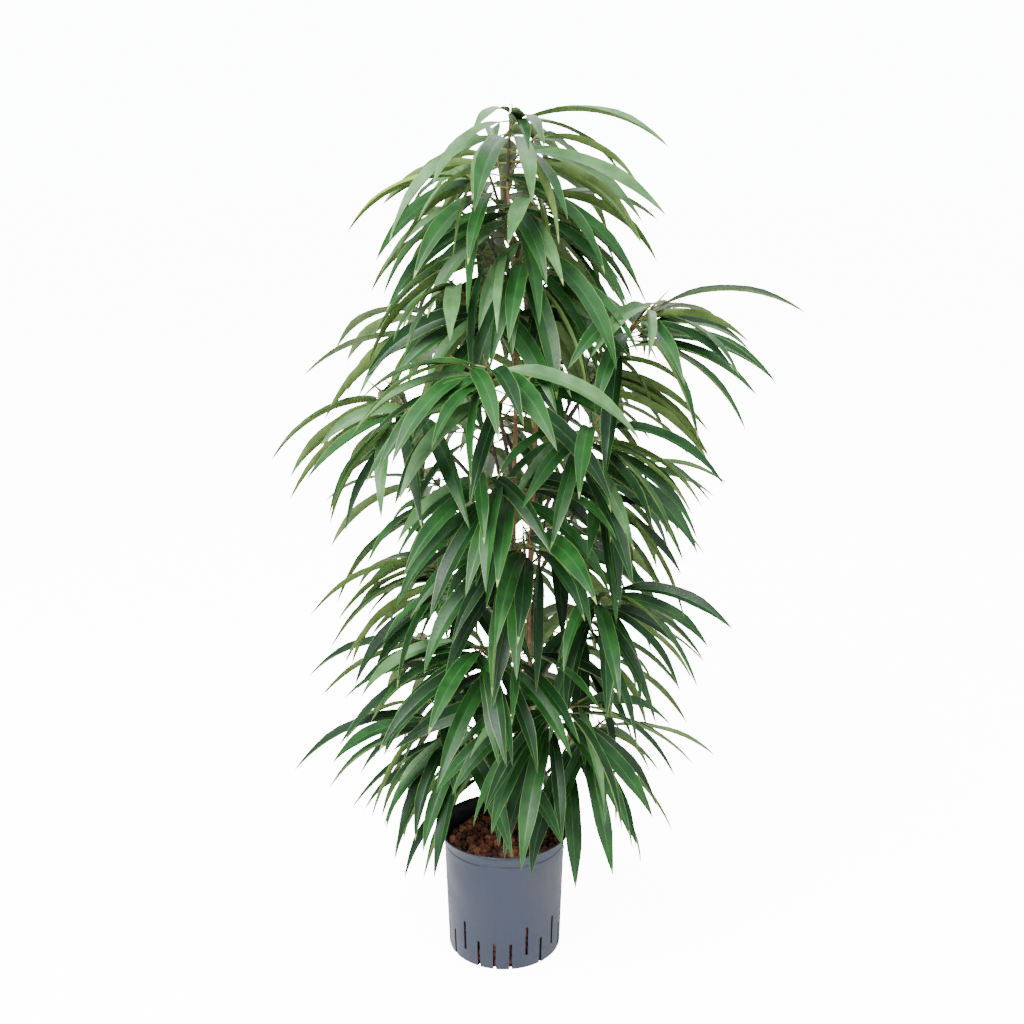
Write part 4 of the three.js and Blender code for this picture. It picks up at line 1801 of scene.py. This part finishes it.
@dataclass
class StubMaker:
    """Makes the dry end that was pruned back, with a splintered tip."""

    rule: StubRule
    bark: BarkMaker = BarkMaker(sides=12, step=1.5, grain=0.14, grain_size=1.6, ring_gap=18.0)
    sunk: float = -0.02
    splinter: float = 2.2
    tip_rows: int = 4
    seed: int = 7

    SPLINTER_PLACE = (1.7, 0.3, 0.9)

    def build(self, stem: StemRule, finish: Material) -> None:
        """Make the stub.

        Args:
            stem: The stem that it stands on.
            finish: The dry wood's material.
        """
        mesh = PieceMesh()
        curve = Stretch(self.rule.curve_on(stem), self.sunk, 1)
        self.bark.add(mesh, curve, partial(lerp, self.rule.radius, self.rule.tip_radius), self.seed)
        tip = mesh.points[0].reshape(-1, self.bark.sides, 3)[-self.tip_rows :]
        step, row, depth = self.SPLINTER_PLACE
        for i in range(self.bark.sides):
            out = noise.noise(Vector((i * step, row, depth)))
            tip[:, i] += np.array(curve.tangent(1)) * MM * self.splinter * out
        fit(mesh.piece("pruned_stub", [finish]), ["dry_stub"])


# Pot

Profile = Sequence[Pair]


def shifted(steps: Profile, radius: float, height: float) -> list[Pair]:
    """Return the steps of a profile, placed from a radius and a height."""
    return [(radius + out, height + up) for out, up in steps]


@dataclass
class PotRule:
    """The pot's measures, in millimetres, as its solid has them."""

    height: float = 177.0
    rim_radius: float = 90.0
    shoulder_radius: float = 82.5
    base_radius: float = 77.5
    wall: float = 2.2
    lip_height: float = 9.0
    band_height: float = 18.0
    band_step: float = 0.7
    floor: float = 2.6

    def wall_radius(self, height: float) -> float:
        """Return the outer radius of the plain wall at a height."""
        return lerp(self.base_radius, self.shoulder_radius, height / (self.height - self.lip_height))


class Slot(Enum):
    """Where a slot round the pot's foot starts and ends, in millimetres."""

    LOW = (-4.0, 40.0)
    HIGH = (19.0, 63.0)


@dataclass
class PotMaker:
    """Makes the pot: a thin wall with a groove, a band and a rolled lip, and slots round its foot.

    The tables in capitals are steps of its profile, outwards and up, in millimetres.
    """

    rule: PotRule
    sides: int = 160
    slots: int = 22
    first_slot: float = math.radians(-59)
    slot_width: float = 3.8
    slot_depth: float = 12.0
    slot_bow: int = 8
    pattern: str = "LHLLLHLHLLL"
    foot_ring: float = 7.0
    groove: float = 0.7
    wall_from: float = 1.4
    wall_to: float = 2.4
    inside_from: float = 10.0
    inside_to: float = 2.0
    wall_rows: int = 8
    sharp: float = math.radians(28)

    UNDERSIDE = ((-12.0, 1.4), (-1.0, 1.4), (0.0, 0.3), (0.5, 0.0))
    FOOT = ((-1.0, 0.0), (-0.2, 0.4))
    GROOVE = ((0.15, -1.8), (0.0, -1.2), (0.0, -0.4))
    BAND = ((-0.9, 0.2), (-0.35, 0.7), (-0.3, 1.4))
    FLARE = ((0.0, 0.0), (0.5, 1.2), (1.9, 3.0), (4.2, 5.0))
    LIP = ((-0.9, 6.3), (0.0, 7.3))
    LIP_TOP = ((-0.1, -0.6), (-0.9, 0.0), (-2.2, -0.3), (-4.4, -2.2))
    FLARE_INSIDE = ((2.2, 3.4), (0.6, 1.4), (0.0, -0.4))
    FLOOR = ((-0.6, 0.6), (-2.0, 0.0), (-16.0, 0.0))

    def outer_profile(self) -> Profile:
        """Lay out the outside, from the underside up to the lip.

        Returns:
            The profile, as radius and height.
        """
        rule = self.rule
        band, shoulder = rule.height - rule.band_height, rule.height - rule.lip_height
        low, high = self.wall_from, band - self.wall_to
        heights = [low] + [lerp(low, high, row / self.wall_rows) for row in range(1, self.wall_rows + 1)]
        inward = rule.wall_radius(band) - self.groove
        outward = rule.shoulder_radius + rule.band_step
        return [
            *shifted(self.UNDERSIDE, rule.base_radius - self.foot_ring, 0.0),
            *shifted(self.FOOT, rule.base_radius, 0.0),
            *((rule.wall_radius(height), height) for height in heights),
            *shifted(self.GROOVE, inward, band),
            *shifted(self.BAND, outward, band),
            *shifted(self.FLARE, outward, shoulder),
            *shifted(self.LIP, rule.rim_radius, shoulder),
        ]

    def inner_profile(self) -> Profile:
        """Lay out the top of the lip and the inside, down to the floor.

        Returns:
            The profile, as radius and height.
        """
        rule = self.rule
        shoulder = rule.height - rule.lip_height
        high, low = shoulder - self.inside_from, rule.floor + self.inside_to
        heights = [lerp(high, low, row / self.wall_rows) for row in range(self.wall_rows + 1)]
        return [
            *shifted(self.LIP_TOP, rule.rim_radius, rule.height),
            *shifted(self.FLARE_INSIDE, rule.shoulder_radius + rule.band_step - rule.wall, shoulder),
            *((rule.wall_radius(height) - rule.wall, height) for height in heights),
            *shifted(self.FLOOR, rule.wall_radius(rule.floor) - rule.wall, rule.floor),
        ]

    def turned(self) -> PieceMesh:
        """Turn both profiles into the plain pot.

        Returns:
            The pot's mesh, with the outside's finish up to the lip.
        """
        outer, inner = self.outer_profile(), self.inner_profile()
        ways = [unit_at(turn) for turn in turns_round(self.sides)]
        rings = [[way * radius + UP * height for way in ways] for radius, height in [*outer, *inner]]
        slots = np.array([[int(row > len(outer))] for row in range(len(rings) - 1)])
        mesh = PieceMesh()
        mesh.add_tube(np.array(rings), slots)
        return mesh

    def outline(self, slot: Slot) -> Profile:
        """Lay out a slot's outline with round ends.

        Args:
            slot: The slot.

        Returns:
            The outline, as across and up.
        """
        low, high = slot.value
        radius = self.slot_width / 2
        points = []
        for middle, start in ((high - radius, 0.0), (low + radius, math.pi)):
            for i in range(self.slot_bow + 1):
                turn = start + math.pi * i / self.slot_bow
                points.append((radius * math.cos(turn), middle + radius * math.sin(turn)))
        return points

    def cutters(self) -> PieceMesh:
        """Make the shapes that cut the slots.

        Returns:
            Their mesh.
        """
        mesh = PieceMesh()
        for i in range(self.slots):
            slot = Slot.HIGH if self.pattern[i % len(self.pattern)] == "H" else Slot.LOW
            turn = self.first_slot + i * 2 * math.pi / self.slots - math.pi / 2
            away, aside = unit_at(turn), unit_at(turn + math.pi / 2)
            rings = []
            for depth in (-self.slot_depth / 2, self.slot_depth / 2):
                centre = away * (self.rule.base_radius + depth)
                rings.append([centre + aside * across + UP * up for across, up in self.outline(slot)])
            mesh.add_tube(np.array(rings), np.array([[1]]))
        return mesh

    def build(self, finishes: Sequence[Material]) -> None:
        """Make the pot with its slots cut.

        Args:
            finishes: The materials outside and inside.
        """
        pot = self.turned().piece("pot_plain", finishes)
        cutter = self.cutters().piece("pot_cutters", finishes)
        cut = pot.modifiers.new("slots", "BOOLEAN")
        cut.operation = "DIFFERENCE"
        cut.solver = "EXACT"
        cut.object = cutter
        fit(settle(pot, "slotted_pot", [cutter], self.sharp), ["pot"])


def settle(source: Piece, name: str, helpers: Iterable[Piece] = (), sharp: float = math.pi) -> Piece:
    """Turn an object with modifiers into a plain piece, and clear its helpers away.

    Args:
        source: The object.
        name: The piece's name.
        helpers: Objects that the modifiers needed.
        sharp: The angle over which edges look sharp.

    Returns:
        The piece.
    """
    graph = bpy.context.evaluated_depsgraph_get()
    mesh = bpy.data.meshes.new_from_object(source.evaluated_get(graph))
    for spare in (source, *helpers):
        bpy.data.objects.remove(spare)
    mesh.name = name
    mesh.set_sharp_from_angle(angle=sharp)
    return put(name, mesh)


# Clay granules


class GraphTree(NodeLayout):
    """Lays out a geometry tree with named inputs."""

    def __init__(self, name: str, kinds: dict[str, str]) -> None:
        """Start a tree with its inputs.

        Args:
            name: The tree's name.
            kinds: The kind of each input, by its name.
        """
        super().__init__(bpy.data.node_groups.new(name, "GeometryNodeTree"))
        sockets = self.tree.interface
        sockets.new_socket(name="Geometry", in_out="OUTPUT", socket_type="NodeSocketGeometry")
        self.keys: dict[str, str] = {}
        for key, kind in kinds.items():
            made = sockets.new_socket(name=key, in_out="INPUT", socket_type=f"NodeSocket{kind}")
            self.keys[key] = made.identifier
        self.given = self.node("NodeGroupInput").outputs


@dataclass
class GranuleBed:
    """The clay granules: a crowned layer under the rim and a layer behind the slots, over a dark core.

    Lengths are in millimetres. The densest is how many granules may fall on a square metre.
    """

    pot: PotRule
    edge: float = 156.0
    crown: float = 160.0
    lump: float = 1.6
    lump_waves: tuple[float, float, float, float] = (8.5, 1.3, 9.5, 0.4)
    sunk: float = 3.4
    gap: float = 7.2
    densest: float = 40000.0
    smallest: float = 8.4
    largest: float = 13.2
    side_low: float = 6.0
    side_high: float = 68.0
    core_sunk: float = 7.5
    core_cone: float = 3.0
    shapes: int = 3
    shape_waves: Pair = (2.6, 2.7)
    shape_relief: Pair = (0.4, 0.14)
    shape_flat: float = 0.86
    seed: int = 11
    turns: int = 48
    rings: int = 12
    hole: float = 0.5

    TONES = (-1.0, 0.34, 0.82)
    KINDS = {
        "Geometry": "Geometry",
        "Least Gap": "Float",
        "Smallest": "Float",
        "Largest": "Float",
        "Seed": "Int",
        "Shapes": "Collection",
    }
    SHAPE_PLACE = (7.0, 3.1, 5.3)

    def top_at(self, radius: float, turn: float, sunk: float) -> Vector:
        """Find a point of the crowned top.

        Args:
            radius: Its distance from the middle.
            turn: Its turn from +X.
            sunk: How far it lies under the top.

        Returns:
            The point.
        """
        edge_radius = self.pot.wall_radius(self.edge) - self.pot.wall
        x, y = radius * math.cos(turn), radius * math.sin(turn)
        wide, start, deep, end = self.lump_waves
        rise = (self.crown - self.edge) * (1 - (radius / edge_radius) ** 2)
        lump = self.lump * math.sin(x / wide + start) * math.cos(y / deep - end)
        return Vector((x, y, self.edge + rise + lump - sunk))

    def side_ring(self, height: float, inset: float) -> list[Vector]:
        """Return a level ring inside the pot's wall, inset from it."""
        radius = self.pot.wall_radius(height) - self.pot.wall - inset
        return [unit_at(turn) * radius + UP * height for turn in turns_round(self.turns)]

    def sheet(self, rows: Sequence[Sequence[Vector]], name: str) -> Piece:
        """Make a row of rings an open sheet that carries granules.

        Args:
            rows: The rings' points.
            name: The sheet's name.

        Returns:
            The sheet.
        """
        points = [point * MM for row in rows for point in row]
        mesh = bpy.data.meshes.new(name)
        mesh.from_pydata(points, [], faces_between(len(rows), self.turns))
        return put(name, mesh)

    def carriers(self) -> list[Piece]:
        """Make the sheets that carry the top layer and the layer behind the slots.

        Returns:
            Both sheets.
        """
        turns, half = turns_round(self.turns), self.largest / 2
        outer = self.pot.wall_radius(self.edge) - self.pot.wall - half
        radii = [outer * (1 - ring / self.rings) + self.hole for ring in range(self.rings + 1)]
        top = [[self.top_at(radius, turn, self.sunk) for turn in turns] for radius in radii]
        heights = [lerp(self.side_low, self.side_high, ring / self.rings) for ring in range(self.rings + 1)]
        aside = [self.side_ring(height, half) for height in heights]
        return [self.sheet(top, "top_carrier"), self.sheet(aside, "side_carrier")]

    def granule_shapes(self) -> bpy.types.Collection:
        """Make a few rough granules, each of the width of one metre.

        Returns:
            A collection of their own, with the granules.
        """
        group = bpy.data.collections.new("granule_shapes")
        (wave, finer), (lump, grain) = self.shape_waves, self.shape_relief
        step, row, depth = self.SHAPE_PLACE
        for number in range(self.shapes):
            form = bmesh.new()
            bmesh.ops.create_icosphere(form, subdivisions=2, radius=0.5)
            for vertex in form.verts:
                place = vertex.co * wave + Vector((step * number, row, depth))
                vertex.co *= 1 + lump * noise.noise(place) + grain * noise.noise(place * finer)
                vertex.co.z *= self.shape_flat
            mesh = bpy.data.meshes.new(f"granule_{number}")
            form.to_mesh(mesh)
            form.free()
            mesh.polygons.foreach_set("use_smooth", [True] * len(mesh.polygons))
            group.objects.link(bpy.data.objects.new(mesh.name, mesh))
        return group

    def tree(self, finishes: Sequence[Material]) -> GraphTree:
        """Lay out the tree that strews the granules over a sheet.

        Args:
            finishes: The tones of clay, from dark to pale.

        Returns:
            The tree.
        """
        graph = GraphTree("granules", self.KINDS)
        graph.node("NodeGroupOutput", {"Geometry": self.painted(graph, self.placed(graph), finishes)})
        return graph

    def placed(self, graph: GraphTree) -> Socket:
        """Strew granules over the sheet, each turned and sized by its own draw.

        Args:
            graph: The tree.

        Returns:
            The granules, as instances.
        """
        given = graph.given
        strew = {
            "Mesh": given["Geometry"],
            "Distance Min": given["Least Gap"],
            "Density Max": self.densest,
            "Seed": given["Seed"],
        }
        points = graph.node("GeometryNodeDistributePointsOnFaces", strew, distribute_method="POISSON")
        pick = {"Collection": given["Shapes"], "Separate Children": True, "Reset Children": True}
        shapes = graph.node("GeometryNodeCollectionInfo", pick, transform_space="ORIGINAL")
        turn = graph.node("FunctionNodeRandomValue", {"Max": (math.tau,) * 3}, data_type="FLOAT_VECTOR")
        sizes = {"Min_001": given["Smallest"], "Max_001": given["Largest"], "Seed": given["Seed"]}
        size = graph.node("FunctionNodeRandomValue", sizes, data_type="FLOAT")
        place = {
            "Points": points.outputs["Points"],
            "Instance": shapes.outputs["Instances"],
            "Pick Instance": True,
            "Rotation": turn.outputs["Value"],
            "Scale": socket_of(size.outputs, "Value_001"),
        }
        return graph.node("GeometryNodeInstanceOnPoints", place).outputs["Instances"]

    def painted(self, graph: GraphTree, granules: Socket, finishes: Sequence[Material]) -> Socket:
        """Deal each granule a tone, make the granules real and give them their finishes.

        Args:
            graph: The tree.
            granules: The granules, as instances.
            finishes: The tones of clay, from dark to pale.

        Returns:
            The finished geometry.
        """
        tone = graph.node("FunctionNodeRandomValue", {"Seed": self.seed}, data_type="FLOAT")
        keep = {"Geometry": granules, "Name": "tone", "Value": socket_of(tone.outputs, "Value_001")}
        kept = graph.node("GeometryNodeStoreNamedAttribute", keep, data_type="FLOAT", domain="INSTANCE")
        real = graph.node("GeometryNodeRealizeInstances", {"Geometry": kept.outputs["Geometry"]})
        last = real.outputs["Geometry"]
        read = graph.node("GeometryNodeInputNamedAttribute", {"Name": "tone"}, data_type="FLOAT")
        for finish, least in zip(finishes, self.TONES):
            pair = {"A": read.outputs["Attribute"], "B": least}
            over = graph.node("FunctionNodeCompare", pair, data_type="FLOAT", operation="GREATER_THAN")
            paint = {"Geometry": last, "Selection": over.outputs["Result"], "Material": finish}
            last = graph.node("GeometryNodeSetMaterial", paint).outputs["Geometry"]
        return last

    def strew(self, carrier: Piece, name: str, graph: GraphTree, shapes: bpy.types.Collection) -> None:
        """Strew granules over one carrier.

        Args:
            carrier: The sheet that carries them.
            name: The piece's name.
            graph: The tree that strews them.
            shapes: The granules' shapes.
        """
        spread = carrier.modifiers.new("granules", "NODES")
        spread.node_group = graph.tree
        values = {
            "Least Gap": self.gap * MM,
            "Smallest": self.smallest * MM,
            "Largest": self.largest * MM,
            "Seed": self.seed,
            "Shapes": shapes,
        }
        for key, value in values.items():
            spread[graph.keys[key]] = value
        fit(settle(carrier, name), ["granule_fill"])

    def build(self, finishes: Sequence[Material]) -> None:
        """Make the core and both layers.

        Args:
            finishes: The tones of clay, from dark to pale.
        """
        graph, shapes = self.tree(finishes), self.granule_shapes()
        for carrier, name in zip(self.carriers(), ("granules_on_top", "granules_behind_slots")):
            self.strew(carrier, name, graph, shapes)
        self.build_core(finishes[0])

    def build_core(self, finish: Material) -> None:
        """Make the dark core that fills the pot under and behind the granules.

        Args:
            finish: The dark clay's material.
        """
        inset = self.side_low + CLEARANCE
        heights = (self.pot.floor + CLEARANCE, self.side_low, self.side_high)
        rows = [self.side_ring(height, inset) for height in heights]
        rows.append(self.side_ring(self.side_high + self.core_cone, CLEARANCE))
        outer = self.pot.wall_radius(self.edge) - self.pot.wall - CLEARANCE
        for ring in range(self.rings):
            radius = outer * (1 - ring / self.rings)
            rows.append([self.top_at(radius, turn, self.core_sunk) for turn in turns_round(self.turns)])
        mesh = PieceMesh()
        mesh.add_tube(np.array(rows), np.array([[0]]))
        fit(mesh.piece("granule_core", [finish]), ["granule_fill"])


# Studio


@dataclass
class Lamp:
    """A soft square light that looks at a point, in metres and watts."""

    name: str
    place: Triple
    size: float
    power: float
    target: Triple = (0.0, 0.0, 0.6)

    def build(self) -> None:
        """Make the light."""
        light = bpy.data.lights.new(self.name, "AREA")
        light.size = self.size
        light.energy = self.power
        made = put(self.name, light)
        made.location = self.place
        made.rotation_euler = (Vector(self.target) - made.location).to_track_quat("-Z", "Y").to_euler()


@dataclass
class Studio:
    """A pale floor, soft lights and the camera, in metres and degrees."""

    camera_place: Triple = (0.0105, -1.64, 1.094)
    camera_pitch: float = 74.0
    lens: float = 46.76
    sensor: float = 36.0
    floor_size: float = 40.0
    floor_drop: float = 0.0004
    sky_level: float = 0.24
    sky_top: float = 2.9
    sky_tint: Triple = (0.95, 0.985, 1.0)
    seen_sky: float = 14.0
    lamps: tuple[Lamp, ...] = (
        Lamp("key", (-1.0, -1.5, 2.6), 1.4, 245.0),
        Lamp("fill", (2.4, -1.6, 1.4), 2.0, 44.0),
        Lamp("back", (0.6, 2.4, 2.6), 1.8, 36.0),
    )

    def build_camera(self) -> None:
        """Make the camera."""
        camera = bpy.data.cameras.new("camera")
        camera.lens = self.lens
        camera.sensor_width = self.sensor
        made = put("camera", camera)
        made.location = self.camera_place
        made.rotation_euler = (math.radians(self.camera_pitch), 0.0, 0.0)
        bpy.context.scene.camera = made

    def build_floor(self) -> None:
        """Make the floor, just under the pot."""
        mesh = bpy.data.meshes.new("floor")
        half = self.floor_size / 2
        corners = [(-half, -half), (half, -half), (half, half), (-half, half)]
        mesh.from_pydata([(x, y, -self.floor_drop) for x, y in corners], [], [(0, 1, 2, 3)])
        mesh.materials.append(FLOOR.material())
        floor = put("floor", mesh)

    def build_sky(self) -> None:
        """Make the soft light from all round, brighter from above, that the camera sees as white."""
        world = bpy.data.worlds.new("studio")
        world.use_nodes = True
        sky = NodeLayout(world.node_tree)
        background = world.node_tree.nodes["Background"]
        background.inputs["Color"].default_value = (*self.sky_tint, 1.0)
        way = sky.node("ShaderNodeTexCoord").outputs["Generated"]
        height = sky.node("ShaderNodeSeparateXYZ", {"Vector": way}).outputs["Z"]
        levels = {"Value": height, "To Min": self.sky_level, "To Max": self.sky_top}
        light = sky.node("ShaderNodeMapRange", levels).outputs["Result"]
        is_seen = sky.node("ShaderNodeLightPath").outputs["Is Camera Ray"]
        seen = sky.node("ShaderNodeMix", {"Factor": is_seen, "A": light, "B": self.seen_sky})
        sky.feed(background.inputs["Strength"], seen.outputs["Result"])
        bpy.context.scene.world = world

    def build(self) -> None:
        """Make all of it."""
        self.build_camera()
        self.build_floor()
        self.build_sky()
        for lamp in self.lamps:
            lamp.build()


# The plant

SEED = 2557
FOOT = 155.0

MAIN_STEM = StemRule(
    "stem_main",
    (
        (-3, 31, 150, 9.8),
        (1, 28, 177, 7.0),
        (10, 22, 223, 6.2),
        (18, 14, 287, 6.0),
        (19, 8, 353, 6.0),
        (18, 5, 413, 5.6),
        (13, 4, 477, 3.4),
        (13, 2, 627, 3.0),
        (15, 0, 767, 2.7),
        (12, 0, 917, 2.4),
        (5, 0, 1035, 2.0),
    ),
    sides=8,
    steps=18,
)
SIDE_STEM = StemRule(
    "stem_side",
    (
        (29, 28, 150, 6.2),
        (33, 24, 177, 4.2),
        (35, 16, 287, 3.6),
        (35, 8, 387, 3.5),
        (32, 2, 497, 3.2),
        (37, -3, 637, 3.0),
        (41, -5, 767, 2.8),
        (36, -4, 827, 2.7),
        (30, -3, 890, 2.6),
    ),
    sides=7,
    steps=14,
)


def main() -> None:
    """Grow the plant and make its pieces in turn."""
    Studio().build()
    stub = StubRule()
    leaf_rule = LeafRule()
    growth = Growth([MAIN_STEM, SIDE_STEM], ShootRule(), leaf_rule, stub, SEED)
    growth.grow_first()
    firsts = [len(shoot.leaves) for shoot in growth.crown]
    low, high = growth.reach()
    LOG.info("first growth: %d leaves", sum(firsts))
    growth.grow_finer()
    growth.thin(firsts, low, high)
    LOG.info("finer growth: %d leaves", sum(len(shoot.leaves) for shoot in growth.crown))
    crown = Crown(growth, LeafMaker(leaf_rule))
    bark = STEM_BARK.material()
    for stem in growth.stems:
        crown.build_stem(stem, FOOT, bark)
    brown, green = TWIG_BROWN.material(), TWIG_GREEN.material()
    crown.build_boughs(brown)
    crown.build_twigs([brown, green])
    crown.build_spears(SPEAR.material())
    crown.build_leaves([finish.material() for finish in LEAF_FINISHES])
    StubMaker(stub).build(SIDE_STEM, DRY_WOOD.material())
    pot = PotRule()
    PotMaker(pot).build([POT_OUTSIDE.material(), POT_INSIDE.material()])
    GranuleBed(pot).build([clay.material() for clay in CLAYS])


if __name__ == "__main__":
    main()
